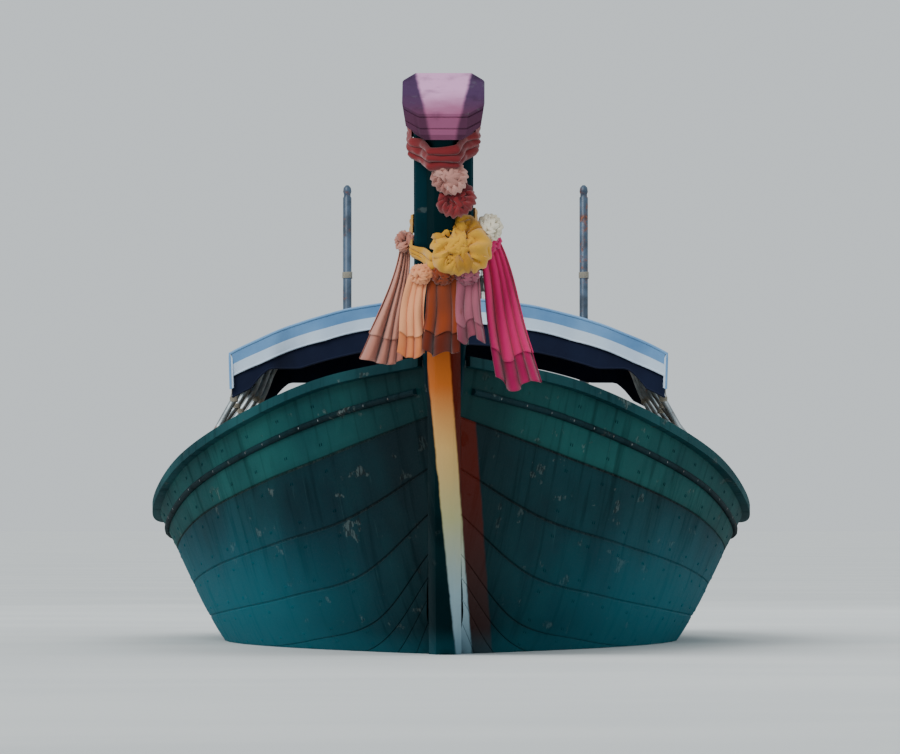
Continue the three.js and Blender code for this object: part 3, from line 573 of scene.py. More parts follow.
@dataclass
class Form:
    """Points and faces of one piece while it is put together, with a material number per face."""

    points: list[Vector] = field(default_factory=list)
    faces: list[tuple[int, ...]] = field(default_factory=list)
    coats: list[int] = field(default_factory=list)
    shades: list[float] = field(default_factory=list)
    seams: dict[int, float] = field(default_factory=dict)
    coat: int = 0
    shade: float = 0.5

    def take(self, faces: Iterable[tuple[int, ...]]) -> None:
        """Adds faces with the coat and shade that are set now.

        Args:
            faces: numbers of their points.
        """
        for face in faces:
            self.faces.append(face)
            self.coats.append(self.coat)
            self.shades.append(self.shade)

    def grid(
        self,
        rows: Sequence[Sequence[Point]],
        wrap: bool = False,
        seams: Sequence[float] | None = None,
        paint: Callable[[int, int], tuple[int, float]] | None = None,
    ) -> None:
        """Adds a sheet through rows of points.

        Args:
            rows: rows with the same number of points.
            wrap: whether each row closes on itself.
            seams: how near a seam each column lies, from 0 to 1.
            paint: gives coat and shade of the face at a row and column.
        """
        base, count = len(self.points), len(rows[0])
        for row in rows:
            for k, point in enumerate(row):
                if seams is not None and seams[k] > 0:
                    self.seams[len(self.points)] = seams[k]
                self.points.append(Vector(point))
        last = count if wrap else count - 1
        for i in range(len(rows) - 1):
            for j in range(last):
                if paint is not None:
                    self.coat, self.shade = paint(i, j)
                low, high = base + i * count, base + (i + 1) * count
                after = (j + 1) % count
                self.take([(low + j, low + after, high + after, high + j)])

    def loft(self, rings: Sequence[Sequence[Point]], **options: object) -> None:
        """Adds a closed body.

        Args:
            rings: rings with the same number of points.
            options: seams and paint, as in grid.
        """
        base, count = len(self.points), len(rings[0])
        self.grid(rings, wrap=True, **options)
        end = base + (len(rings) - 1) * count
        self.take([tuple(range(base, base + count)), tuple(range(end, end + count))])

    def board(self, outline: Sequence[Point], low: float, high: float) -> None:
        """Adds a flat board with an outline of x and y, between two heights."""
        self.loft([[(x, y, z) for x, y in outline] for z in (low, high)])

    def block(self, low: Point, high: Point, inset: float = 0.0) -> None:
        """Adds a box between two corners.

        Args:
            low: the corner with the smallest coordinates.
            high: the corner with the largest ones.
            inset: how much narrower its top is on every side.
        """
        (x0, y0, z0), (x1, y1, z1) = low, high
        self.loft([
            [(x0 + c, y0 + c, z), (x1 - c, y0 + c, z), (x1 - c, y1 - c, z), (x0 + c, y1 - c, z)]
            for z, c in ((z0, 0.0), (z1, inset))
        ])

    def beside(self, side: int, low: Point, high: Point) -> None:
        """Adds a box on one side.

        Args:
            side: 1 for port, -1 for starboard.
            low: its corner with the smallest coordinates on the port side.
            high: its corner with the largest ones there.
        """
        x0, x1 = sorted((side * low[0], side * high[0]))
        self.block((x0, *low[1:]), (x1, *high[1:]))

    def tube(
        self,
        path: Sequence[Point],
        radius: float | Sequence[float],
        sides: int = 12,
        ends: bool = True,
    ) -> None:
        """Adds a round tube along a path.

        Args:
            path: the points of its centreline.
            radius: one radius, or one for each point.
            sides: how many sides its section has.
            ends: whether it is closed at both ends.
        """
        line = [Vector(p) for p in path]
        radii = [radius] * len(line) if isinstance(radius, (int, float)) else list(radius)
        nexts, befores = line[1:] + line[-1:], line[:1] + line[:-1]
        ways = [(after - before).normalized() for after, before in zip(nexts, befores)]
        side = ways[0].orthogonal().normalized()
        rings = []
        for spot, way, size in zip(line, ways, radii):
            side = (side - way * side.dot(way)).normalized()
            across = way.cross(side)
            turns = (math.tau * k / sides for k in range(sides))
            rings.append([spot + (side * math.cos(a) + across * math.sin(a)) * size for a in turns])
        if ends:
            self.loft(rings)
        else:
            self.grid(rings, wrap=True)

    def rod(self, start: Point, end: Point, radius: float, sides: int = 20) -> None:
        """Adds a round bar."""
        self.tube([start, end], radius, sides)

    def coil(
        self, centre: Point, radius: float, thick: float, steps: int, climb: float, sides: int = 6
    ) -> None:
        """Adds one turn of cord or wire round an upright axis.

        Args:
            centre: the middle of the turn where it starts.
            radius: the turn's radius.
            thick: the cord's radius.
            steps: how many steps the turn has.
            climb: how far it climbs for each radian.
            sides: how many sides the cord has.
        """
        x, y, z = centre
        turn = [
            (x + radius * math.cos(a), y + radius * math.sin(a), z + climb * a)
            for a in spread(0, math.tau, steps)
        ]
        self.tube(turn, thick, sides, ends=False)

    def turned(
        self, start: Point, way: Point, profile: Sequence[Pair], sides: int = 28
    ) -> None:
        """Adds a body turned on a lathe.

        Args:
            start: where its axis starts.
            way: the axis's direction.
            profile: pairs of distance along the axis and radius.
            sides: how many sides it has.
        """
        axis = Vector(way).normalized()
        side = axis.orthogonal().normalized()
        across = axis.cross(side)
        spot = Vector(start)
        rim = [side * c + across * s for c, s in circle(1.0, sides)]
        self.loft([[spot + axis * along + out * size for out in rim] for along, size in profile])

    def sleeve(
        self, start: Point, way: Point, length: float, outer: float, inner: float, sides: int = 32
    ) -> None:
        """Adds a thick-walled tube.

        Args:
            start: the middle of its first end.
            way: its axis's direction.
            length: its length.
            outer: its outer radius.
            inner: its inner radius.
            sides: how many sides it has.
        """
        axis = Vector(way).normalized()
        side = axis.orthogonal().normalized()
        across = axis.cross(side)
        base = len(self.points)
        for along, radius in ((0, outer), (length, outer), (length, inner), (0, inner)):
            for c, s in circle(1.0, sides):
                self.points.append(Vector(start) + axis * along + (side * c + across * s) * radius)
        for r in range(4):
            low, high = base + r * sides, base + (r + 1) % 4 * sides
            for k in range(sides):
                after = (k + 1) % sides
                self.take([(low + k, low + after, high + after, high + k)])

    def bolt(self, spot: Point, way: Point, size: float = 0.012, washer: bool = True) -> None:
        """Adds a hexagon bolt head that stands on a surface.

        Args:
            spot: the middle of its foot.
            way: the way out of the surface.
            size: about the head's radius.
            washer: whether it has a washer.
        """
        axis, base = Vector(way).normalized(), Vector(spot)
        if washer:
            self.rod(base, base + axis * size * 0.16, size * 1.15, 14)
        profile = ((0.1, 0.86), (0.75, 0.86), (0.86, 0.68))
        self.turned(base, axis, [(size * along, size * radius) for along, radius in profile], 6)

    def moved(self, matrix: Matrix) -> "Form":
        """Moves all points by a matrix and returns the form."""
        self.points = [matrix @ p for p in self.points]
        return self

    def mirrored(self) -> "Form":
        """Returns a copy on the other side of the centreline."""
        points = [Vector((-p.x, p.y, p.z)) for p in self.points]
        faces = [tuple(reversed(f)) for f in self.faces]
        return Form(points, faces, list(self.coats), list(self.shades), dict(self.seams))

    def add(self, other: "Form") -> None:
        """Takes in the points and faces of another form.

        Args:
            other: the form.
        """
        base = len(self.points)
        self.points += other.points
        self.faces += [tuple(base + k for k in face) for face in other.faces]
        self.coats += other.coats
        self.shades += other.shades
        self.seams.update({base + k: v for k, v in other.seams.items()})

    def piece(
        self,
        name: str,
        body: str,
        coats: Sequence[str],
        slot: str,
        replaces: Sequence[str] = (),
        bevel: float = 0.0,
        angle: float = 38.0,
        segments: int = 2,
    ) -> bpy.types.Object:
        """Turns the form into a piece of the boat.

        Args:
            name: the piece's name.
            body: the CAD body that it rides on.
            coats: its finishes, in the order of the faces' coat numbers.
            slot: the name of a material slot; not used.
            replaces: the CAD nodes that it stands for.
            bevel: width of the rounding of its edges.
            angle: faces that meet at less are shaded smooth.
            segments: how many faces the rounding has.
        Returns:
            The new object.
        """
        mesh = bpy.data.meshes.new(name)
        mesh.from_pydata([tuple(p) for p in self.points], [], self.faces)
        for coat in coats:
            mesh.materials.append(finish(coat))
        mesh.polygons.foreach_set("material_index", self.coats)
        mesh.attributes.new("shade", "FLOAT", "FACE").data.foreach_set("value", self.shades)
        near = np.zeros(len(self.points), np.float32)
        for k, value in self.seams.items():
            near[k] = value
        mesh.attributes.new("seam", "FLOAT", "POINT").data.foreach_set("value", near)
        work = bmesh.new()
        work.from_mesh(mesh)
        bmesh.ops.recalc_face_normals(work, faces=work.faces)
        work.to_mesh(mesh)
        work.free()
        mesh.polygons.foreach_set("use_smooth", [True] * len(mesh.polygons))
        mesh.set_sharp_from_angle(angle=math.radians(angle))
        thing = bpy.data.objects.new(name, mesh)
        bpy.context.scene.collection.objects.link(thing)
        if bevel:
            edge = thing.modifiers.new("rounding", "BEVEL")
            edge.width, edge.segments, edge.limit_method = bevel, segments, "ANGLE"
            edge.angle_limit = math.radians(angle)
        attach(thing, body)
        if replaces:
            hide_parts(*replaces)
        LOG.info("%s: %d faces", name, len(self.faces))
        return thing


def spread(low: float, high: float, count: int) -> list[float]:
    """Returns count + 1 evenly spaced numbers from low to high."""
    return [low + (high - low) * k / count for k in range(count + 1)]


def circle(radius: float, count: int, turn: float = 0.0) -> list[Pair]:
    """Returns count flat points on a circle, the first one turned by a share of a step."""
    angles = [math.tau * (k + turn) / count for k in range(count)]
    return [(radius * math.cos(a), radius * math.sin(a)) for a in angles]


def smooth(points: Sequence[Vector], steps: int) -> list[Vector]:
    """Returns a smooth path through points, with steps + 1 points of its own."""
    return [Vector(p) for p in spline(np.array([tuple(p) for p in points]), spread(0, 1, steps))]


# Hull lines

# Places along the hull at which its lines are measured
STATIONS = np.linspace(0, 1, 161)


def spline(points: np.ndarray, shares: Sequence[float]) -> np.ndarray:
    """Follows a smooth curve through points, with its knots spaced by the root of the distance.

    Args:
        points: control points in the last two axes.
        shares: places on the curve from 0 to 1, with equal steps from point to point.
    Returns:
        Points, with the shares in place of the control points.
    """
    points = np.asarray(points, float)
    first = 2 * points[..., :1, :] - points[..., 1:2, :]
    last = 2 * points[..., -1:, :] - points[..., -2:-1, :]
    held = np.concatenate([first, points, last], axis=-2)
    place = np.clip(np.asarray(shares, float), 0, 1) * (points.shape[-2] - 1)
    index = np.minimum(place.astype(int), points.shape[-2] - 2)
    w = (place - index)[:, None]
    p0, p1, p2, p3 = (held[..., index + k, :] for k in range(4))
    steps = ((p0, p1), (p1, p2), (p2, p3))
    gaps = [np.sqrt(np.linalg.norm(b - a, axis=-1, keepdims=True)) for a, b in steps]
    least = 1e-4
    d1 = np.where(gaps[1] < least, 1, gaps[1])
    d0, d2 = (np.where(gap < least, d1, gap) for gap in (gaps[0], gaps[2]))
    t1 = ((p1 - p0) / d0 - (p2 - p0) / (d0 + d1) + (p2 - p1) / d1) * d1
    t2 = ((p2 - p1) / d1 - (p3 - p1) / (d1 + d2) + (p3 - p2) / d2) * d1
    square, cube = 3 * (p2 - p1) - 2 * t1 - t2, 2 * (p1 - p2) + t1 + t2
    return p1 + t1 * w + square * w**2 + cube * w**3


def at_y(line: np.ndarray, y: float) -> np.ndarray:
    """Returns the point where a line that runs from the stern forward passes y."""
    return np.array([np.interp(y, line[::-1, 1], line[::-1, k]) for k in range(3)])


@dataclass
class HullLines:
    """The hull's lines: the same stations and stem that the solids are made from."""

    # y, keel z, bilge half-breadth and z, turn half-breadth and z, sheer half-breadth and z
    stations: tuple[tuple[float, ...], ...] = (
        (4.600, -0.150, 0.330, -0.105, 0.560, 0.060, 0.740, 0.580),
        (3.300, -0.255, 0.440, -0.210, 0.745, -0.010, 0.965, 0.480),
        (1.900, -0.320, 0.540, -0.270, 0.840, -0.020, 1.105, 0.450),
        (0.500, -0.330, 0.540, -0.275, 0.830, -0.020, 1.090, 0.520),
        (-1.000, -0.320, 0.430, -0.260, 0.700, -0.010, 0.950, 0.665),
        (-2.400, -0.280, 0.260, -0.205, 0.475, 0.030, 0.700, 0.800),
        (-3.500, -0.165, 0.125, -0.085, 0.235, 0.110, 0.420, 0.905),
    )
    # y and z up the stem, from the forefoot
    stem: tuple[Pair, ...] = (
        (-3.900, -0.025), (-4.350, 0.260), (-4.690, 0.610),
        (-4.930, 0.965), (-5.175, 1.430), (-5.355, 1.845),
    )
    ends: tuple[float, ...] = (0.090, 0.340, 0.965)
    stem_half: float = 0.055
    rake: float = 0.2
    plank: float = 0.028

    def __post_init__(self) -> None:
        """Makes the profile and the three lines along the side."""
        rows = self.stations
        raked = [self.rake, *[0.0] * (len(rows) - 1)]
        keel = [(0, row[0] - lean * (row[7] - row[1]), row[1]) for row, lean in zip(rows, raked)]
        self.keel_line = np.array(keel + [(0, y, z) for y, z in self.stem])
        self.share = len(rows) / (len(self.keel_line) - 1)
        self._stem_shares = np.linspace(self.share - 0.1, 1, 801)
        self._stem_points = spline(self.keel_line, self._stem_shares)
        self.lines = []
        for number, end in zip((2, 4, 6), self.ends):
            line = [
                (row[number], row[0] - lean * (row[7] - row[number + 1]), row[number + 1])
                for row, lean in zip(rows, raked)
            ]
            tip = self.at_stem(end)[0]
            self.lines.append(np.array(line + [(self.stem_half, tip.y, tip.z)]))

    def stem_share(self, z: float) -> float:
        """Returns the place on the profile where the stem line reaches a height."""
        return float(np.interp(z, self._stem_points[:, 2], self._stem_shares))

    def at_share(self, share: float) -> tuple[Vector, Vector, Vector]:
        """Follows the boat's profile.

        Args:
            share: the place on it, from the transom's foot at 0 to the prow's top at 1.
        Returns:
            The point, the way along the profile and the way out of the boat.
        """
        near = [min(max(share + d, 0), 1) for d in (-1e-4, 1e-4)]
        a, b = spline(self.keel_line, near)
        point = Vector(spline(self.keel_line, [share])[0])
        along = Vector(b - a).normalized()
        return point, along, Vector((0, -along.z, along.y))

    def at_stem(self, z: float) -> tuple[Vector, Vector, Vector]:
        """Returns the same for a height on the stem."""
        return self.at_share(self.stem_share(z))

    def ring(self, share: float, pairs: Sequence[Pair]) -> list[Vector]:
        """Makes a ring round the backbone, square to the profile.

        Args:
            share: its place on the profile.
            pairs: half-width and distance out of the ring's points on the port side.
        Returns:
            The points, to port and then back to starboard.
        """
        point, _, out = self.at_share(share)
        half = [Vector((w, 0, 0)) + point + out * d for w, d in pairs]
        return half + [Vector((-p.x, p.y, p.z)) for p in reversed(half)]

    def surface(self, us: Sequence[float], vs: Sequence[float]) -> np.ndarray:
        """Follows the outside of the port side.

        Args:
            us: places along the hull, 0 at the transom and 1 at the stem.
            vs: places up the side, 0 at the keel and 1 at the sheer.
        Returns:
            Points by u, v and axis.
        """
        keel = spline(self.keel_line, np.asarray(us) * self.share)
        across = np.stack([keel, *(spline(line, us) for line in self.lines)], axis=1)
        return spline(across, vs)

    def skin(
        self, us: Sequence[float], vs: Sequence[float], depth: float | np.ndarray
    ) -> np.ndarray:
        """Returns the surface moved inward, square to the planks.

        Args:
            us: places along the hull.
            vs: places up the side.
            depth: one depth, or one for each v.
        Returns:
            Points by u, v and axis.
        """
        us, vs = np.asarray(us, float), np.asarray(vs, float)
        step, least = 1e-3, 0.002
        after, before = np.minimum(us + step, 1), np.maximum(us - step, 0)
        above, below = np.minimum(vs + step, 1), np.maximum(vs - step, 0)
        ahead = self.surface(after, vs) - self.surface(before, vs)
        upward = self.surface(us, above) - self.surface(us, below)
        normal = np.cross(ahead, upward)
        normal /= np.linalg.norm(normal, axis=-1, keepdims=True)
        normal[:, vs == 0, 0] = 0
        normal[:, vs == 1, 2] = 0
        normal /= (normal**2).sum(axis=-1, keepdims=True)
        depths = np.broadcast_to(np.asarray(depth, float), vs.shape)
        points = self.surface(us, vs) + normal * depths[None, :, None]
        points[:, vs > 0, 0] = np.maximum(points[:, vs > 0, 0], least)
        return points

    def waterline(self, z: float, depth: float) -> Callable[[float], float]:
        """Measures the room inside the hull at a height.

        Args:
            z: the height.
            depth: how far inside the planks' outside it is measured.
        Returns:
            The half-breadth as a function of y.
        """
        grid = self.skin(STATIONS, np.linspace(0, 1, 61), depth)
        ys, halves = [], []
        for row in grid:
            above = np.nonzero(row[:, 2] >= z)[0]
            if len(above) and above[0] > 0:
                k = above[0]
                share = (z - row[k - 1, 2]) / (row[k, 2] - row[k - 1, 2])
                x, y, _ = row[k - 1] + (row[k] - row[k - 1]) * share
                ys.append(y)
                halves.append(x)
        order = np.argsort(ys)
        ys, halves = np.array(ys)[order], np.array(halves)[order]
        return lambda y: float(np.interp(y, ys, halves, left=0, right=0))

    def section(self, y: float, vs: Sequence[float], depth: float) -> list[np.ndarray]:
        """Returns the points of the skin's section at one y, one for each v."""
        grid = self.skin(STATIONS, vs, depth)
        return [at_y(grid[:, column], y) for column in range(grid.shape[1])]


# Sub-assemblies of the hull

# Where the frames stand
RIBS = tuple(-3.3 + 0.5 * k for k in range(15))
RUNS = ("fore", "mid", "aft")
PARTS = ("hull_bottom", "topside_port", "topside_starboard")
PLANK_NODES = tuple(f"{part}_{run}" for part in PARTS for run in RUNS)


@dataclass
class Planking:
    """The planked shell: strakes with caulked seams, nails over the frames, a lighter sheer."""

    lines: HullLines
    breaks: tuple[float, ...] = (
        0.0, 0.12, 0.24, 0.36, 0.48, 0.58, 0.667, 0.75, 0.83, 0.915, 1.0
    )
    groove: float = 0.0028
    groove_half: float = 0.0024
    proud: float = 0.0012
    steps: int = 150
    butt: float = 0.11
    # radius and height of a head
    nail: Pair = (0.0065, 0.0012)

    def _across(self) -> tuple[list[float], list[float], list[float]]:
        """Returns the places up the side, their depths and how near a seam each lies."""
        vs, depths, near = [0.0], [0.0], [0.0]
        for low, high in zip(self.breaks, self.breaks[1:]):
            span = high - low
            for share in (0.12, 0.32, 0.5, 0.68, 0.88):
                vs.append(low + span * share)
                depths.append(-self.proud * math.sin(math.pi * share))
                near.append(0.0)
            if high < 1:
                w = self.groove_half
                vs += [high - w, high - w * 0.35, high + w * 0.35, high + w]
                depths += [0.0, self.groove, self.groove, 0.0]
                near += [0.25, 1.0, 1.0, 0.25]
        return vs + [1.0], depths + [0.0], near + [0.0]

    def build(self) -> bpy.types.Object:
        """Builds the shell and its nails."""
        vs, depths, near = self._across()
        us = spread(0, 1, self.steps)
        outer = self.lines.skin(us, vs, depths)
        inner = self.lines.skin(us, vs, self.lines.plank)
        mirror = np.array((-1, 1, 1))
        rings = [
            [*o, *reversed(i), *(i[1:] * mirror), *reversed(o[1:] * mirror)]
            for o, i in zip(outer, inner)
        ]
        seam = [*near, *reversed(near), *near[1:], *reversed(near[1:])]
        count = len(vs)
        dice = random.Random(4)
        tones: dict[tuple[int, int, int], float] = {}

        def paint(i: int, j: int) -> tuple[int, float]:
            """Paints a face by its side and strake.

            Args:
                i: its row.
                j: its column.
            Returns:
                Its coat and the tone of its plank.
            """
            if j < count:
                quarter, k = 0, j
            elif j < 2 * count:
                quarter, k = 1, 2 * count - 1 - j
            elif j < 3 * count - 1:
                quarter, k = 2, j - 2 * count
            else:
                quarter, k = 3, 4 * count - 2 - j
            v = vs[min(max(k, 0), count - 1)]
            strake = sum(v > b - 1e-6 for b in self.breaks[1:-1])
            plank = int(i / self.steps / self.butt * 0.32 + strake * 0.37 + 9) if strake else 0
            key = (quarter, strake, plank)
            tones.setdefault(key, dice.uniform(0.05, 0.95))
            if quarter in (1, 2):
                return 2, tones[key]
            return int(v > self.breaks[-2]), tones[key]

        form = Form()
        form.grid(rings, wrap=True, seams=seam, paint=paint)
        form.coat, form.shade = 0, 0.4
        self._nails(form)
        coats = ["hull", "sheer", "lining"]
        return form.piece("planking", "hull", coats, "hull_paint", PLANK_NODES, angle=28)

    def _nails(self, form: Form) -> None:
        """Adds nail heads in pairs over each frame, above the water on both sides.

        Args:
            form: takes the nails.
        """
        radius, height = self.nail
        head = [(-height, radius), (height * 0.5, radius * 0.86), (height, radius * 0.4)]
        places = []
        for low, high in zip(self.breaks[4:], self.breaks[5:]):
            places += [low + (high - low) * 0.2, low + (high - low) * 0.8]
        for v in places:
            outside = self.lines.skin(STATIONS, [v], -0.0008)[:, 0]
            inside = self.lines.skin(STATIONS, [v], 0.01)[:, 0]
            for y in RIBS:
                for shift in (-0.013, 0.013):
                    spot = at_y(outside, y + shift)
                    way = spot - at_y(inside, y + shift)
                    for side in (1, -1):
                        flip = np.array((side, 1, 1))
                        form.turned(spot * flip, way * flip, head, 8)


@dataclass
class Framing:
    """Floor timbers and side frames inside the planks, keelson and risers."""

    lines: HullLines
    sided: float = 0.05
    moulded: float = 0.055
    scarf: float = 0.6
    # ends, half-width and top
    keelson: tuple[float, float, float, float] = (-2.74, 3.76, 0.045, -0.1504)
    # ends, bottom, top and thickness
    riser: tuple[float, float, float, float, float] = (-3.325, 3.725, 0.285, 0.3296, 0.026)

    def _band(
        self, form: Form, y: float, half: float, vs: Sequence[float], deep: float, whole: bool
    ) -> None:
        """Adds a frame piece that follows the inside of the planks.

        Args:
            form: takes the piece.
            y: the place of its middle.
            half: half its width.
            vs: the places up the side that it covers.
            deep: how far it stands inside the planks.
            whole: whether it runs from side to side; otherwise it is one piece on each side.
        """
        rings = []
        for at in (y - half, y + half):
            outer = self.lines.section(at, vs, self.lines.plank - 0.001)
            inner = self.lines.section(at, vs, self.lines.plank + deep)
            ring = [(x, at, z) for x, _, z in (*outer, *reversed(inner))]
            if whole:
                start, end = ring[: len(vs)], ring[len(vs) :]
                ring = [(-px, py, pz) for px, py, pz in reversed(start[1:])] + ring
                ring += [(-px, py, pz) for px, py, pz in reversed(end[:-1])]
            rings.append(ring)
        if whole:
            form.loft(rings)
            return
        side = Form(coat=form.coat, shade=form.shade)
        side.loft(rings)
        form.add(side.mirrored())
        form.add(side)

    def build(self) -> bpy.types.Object:
        """Builds frames, keelson and risers."""
        form, dice = Form(), random.Random(8)
        floors, sides = spread(0, self.scarf + 0.05, 22), spread(self.scarf - 0.04, 1, 16)
        for y in RIBS:
            form.shade = dice.uniform(0.1, 0.9)
            self._band(form, y, self.sided / 2, floors, self.moulded, True)
            form.shade = dice.uniform(0.1, 0.9)
            self._band(form, y, self.sided / 2 - 0.003, sides, self.moulded - 0.005, False)
        form.shade = 0.7
        inside = self.lines.skin(STATIONS, [0.0], self.lines.plank)[:, 0]
        fore, aft, half, top = self.keelson
        form.loft([
            [(-half, y, low), (half, y, low), (half, y, top), (-half, y, top)]
            for y, low in ((y, at_y(inside, y)[2]) for y in spread(fore, aft, 26))
        ])
        fore, aft, low, high, thick = self.riser
        room = self.lines.waterline((low + high) / 2, self.lines.plank + self.moulded - 0.001)
        riser = Form(shade=0.3)
        riser.loft([
            [(x, y, low), (x, y, high), (x - thick, y, high), (x - thick, y, low)]
            for x, y in ((room(y), y) for y in spread(fore, aft, 50))
        ])
        form.add(riser.mirrored())
        form.add(riser)
        return form.piece("framing", "hull", ["frame"], "bare_wood", PLANK_NODES, bevel=0.004)


@dataclass
class Rails:
    """The gunwales with their rub strakes and fastenings."""

    lines: HullLines
    outside: float = 0.028
    inside: float = 0.040
    thick: float = 0.034
    over_transom: float = 0.0404
    post_half: float = 0.0735
    post_aft: float = -4.665
    strip_v: float = 0.962
    strip_radius: float = 0.0115

    def rail_edge(self, us: Sequence[float]) -> tuple[np.ndarray, np.ndarray, np.ndarray]:
        """Works out the rail's lines.

        Args:
            us: places along the hull.
        Returns:
            The sheer line, and the rail's outer and inner lines.
        """
        edge = self.lines.surface(us, [1.0])[:, 0]
        outer = self.lines.skin(us, [1.0], -self.outside)[:, 0]
        deep = np.minimum(self.lines.plank + self.inside, edge[:, 0] - 0.01)
        inner = np.array([self.lines.skin([u], [1.0], d)[0, 0] for u, d in zip(us, deep)])
        ahead = edge[:, 1] < self.post_aft
        inner[ahead, 0] = np.maximum(inner[ahead, 0], self.post_half)
        inner[:, 0] = np.minimum(inner[:, 0], outer[:, 0] - 0.006)
        return edge, outer, inner

    def build(self) -> None:
        """Builds one rail for each side."""
        us = spread(0, 0.998, 140)
        edge, outer, inner = self.rail_edge(us)
        rings = []
        tops = edge[:, 2] + FIT + self.thick
        for (x0, y0, _), (x1, y1, _), low, top in zip(outer, inner, edge[:, 2] + FIT, tops):
            rings.append([(x0, y0, low), (x0, y0, top), (x1, y1, top), (x1, y1, low)])
        rings.insert(0, [(x, y + self.over_transom, z) for x, y, z in rings[0]])
        rail = Form()
        dice = random.Random(11)
        tones = [dice.random() for _ in range(6)]
        rail.loft(rings, paint=lambda i, _: (0, tones[i * len(tones) // len(rings)]))
        strip_us = spread(0.004, 0.985, 110)
        strip = self.lines.skin(strip_us, [self.strip_v], -0.003)[:, 0]
        rail.coat, rail.shade = 1, 0.5
        rail.tube(strip, self.strip_radius, 10)
        rail.coat = 2
        for k in range(6, len(strip) - 3, 4):
            spot = Vector(strip[k])
            out = spot - Vector(self.lines.skin([strip_us[k]], [self.strip_v], 0.02)[0, 0])
            foot = spot + out.normalized() * (self.strip_radius - 0.001)
            rail.turned(foot, out, [(0, 0.005), (0.0015, 0.003)], 8)
        for k in range(4, len(us) - 8, 5):
            x, y, _ = (outer[k] + inner[k]) / 2
            rail.turned((x, y, tops[k]), UP, [(-0.001, 0.007), (0.0012, 0.005)], 8)
        coats = ["rail", "trim", "bolt"]
        for side, form in (("starboard", rail.mirrored()), ("port", rail)):
            nodes = [f"gunwale_{side}_{run}" for run in RUNS]
            name = f"rail_{side}"
            form.piece(name, "hull", coats, "rail_paint", nodes, bevel=0.007, segments=3)


@dataclass
class Transom:
    """The stern board: planks athwart on the raked end, with a dark line between them."""

    lines: HullLines
    thick: float = 0.04
    planks: int = 5
    gap: float = 0.003
    rake: float = 0.2
    top: float = 0.58
    aft: float = 4.6

    def _face(self, z: float) -> float:
        """Returns the y of the raked end at a height."""
        return self.aft - self.rake * (self.top - z)

    def _rim(self, low: float, high: float) -> list[Pair]:
        """Works out the hull's end between two heights.

        Args:
            low: the lower one.
            high: the upper one.
        Returns:
            Its x and z, up the port side and then down the starboard side.
        """
        rim = self.lines.surface([0.0], np.linspace(0, 1, 121))[0]
        order = np.argsort(rim[:, 2])
        zs = [low, *[z for z in rim[order, 2] if low < z < high][::4], high]
        port = [(float(np.interp(z, rim[order, 2], rim[order, 0])), z) for z in zs]
        return port + [(-x, z) for x, z in reversed(port)]

    def _board(
        self, form: Form, low: float, high: float, behind: Pair, inset: float = 0.0
    ) -> None:
        """Adds a board of the transom.

        Args:
            form: takes the board.
            low: its lower edge.
            high: its upper edge.
            behind: how far its two faces lie behind the hull's end.
            inset: how much narrower than the hull it is on each side.
        """
        rim = [(x - math.copysign(inset, x), z) for x, z in self._rim(low, high)]
        form.loft([[(x, self._face(z) + y, z) for x, z in rim] for y in behind])

    def build(self) -> bpy.types.Object:
        """Builds the planks over a darker back."""
        form = Form(coat=1)
        bottom = float(self.lines.surface([0.0], [0.0])[0, 0, 2]) + 0.004
        self._board(form, bottom, self.top - 0.002, (FIT, 0.033), 0.001)
        edges = spread(bottom, self.top, self.planks)
        dice = random.Random(3)
        for low, high in zip(edges, edges[1:]):
            form.coat, form.shade = 0, dice.random()
            behind = (0.02, FIT + self.thick)
            self._board(form, low + self.gap / 2, high - self.gap / 2, behind)
        form.coat, form.shade = 2, 0.5
        for z in (0.16, 0.36, 0.52):
            for x in (-0.3, -0.1, 0.1, 0.3):
                form.bolt((x, self._face(z) + FIT + self.thick, z), (0, 1, self.rake), 0.009)
        coats = ["rail", "lining", "bolt"]
        return form.piece(
            "transom_planks", "hull", coats, "rail_paint", ["transom"], bevel=0.003
        )


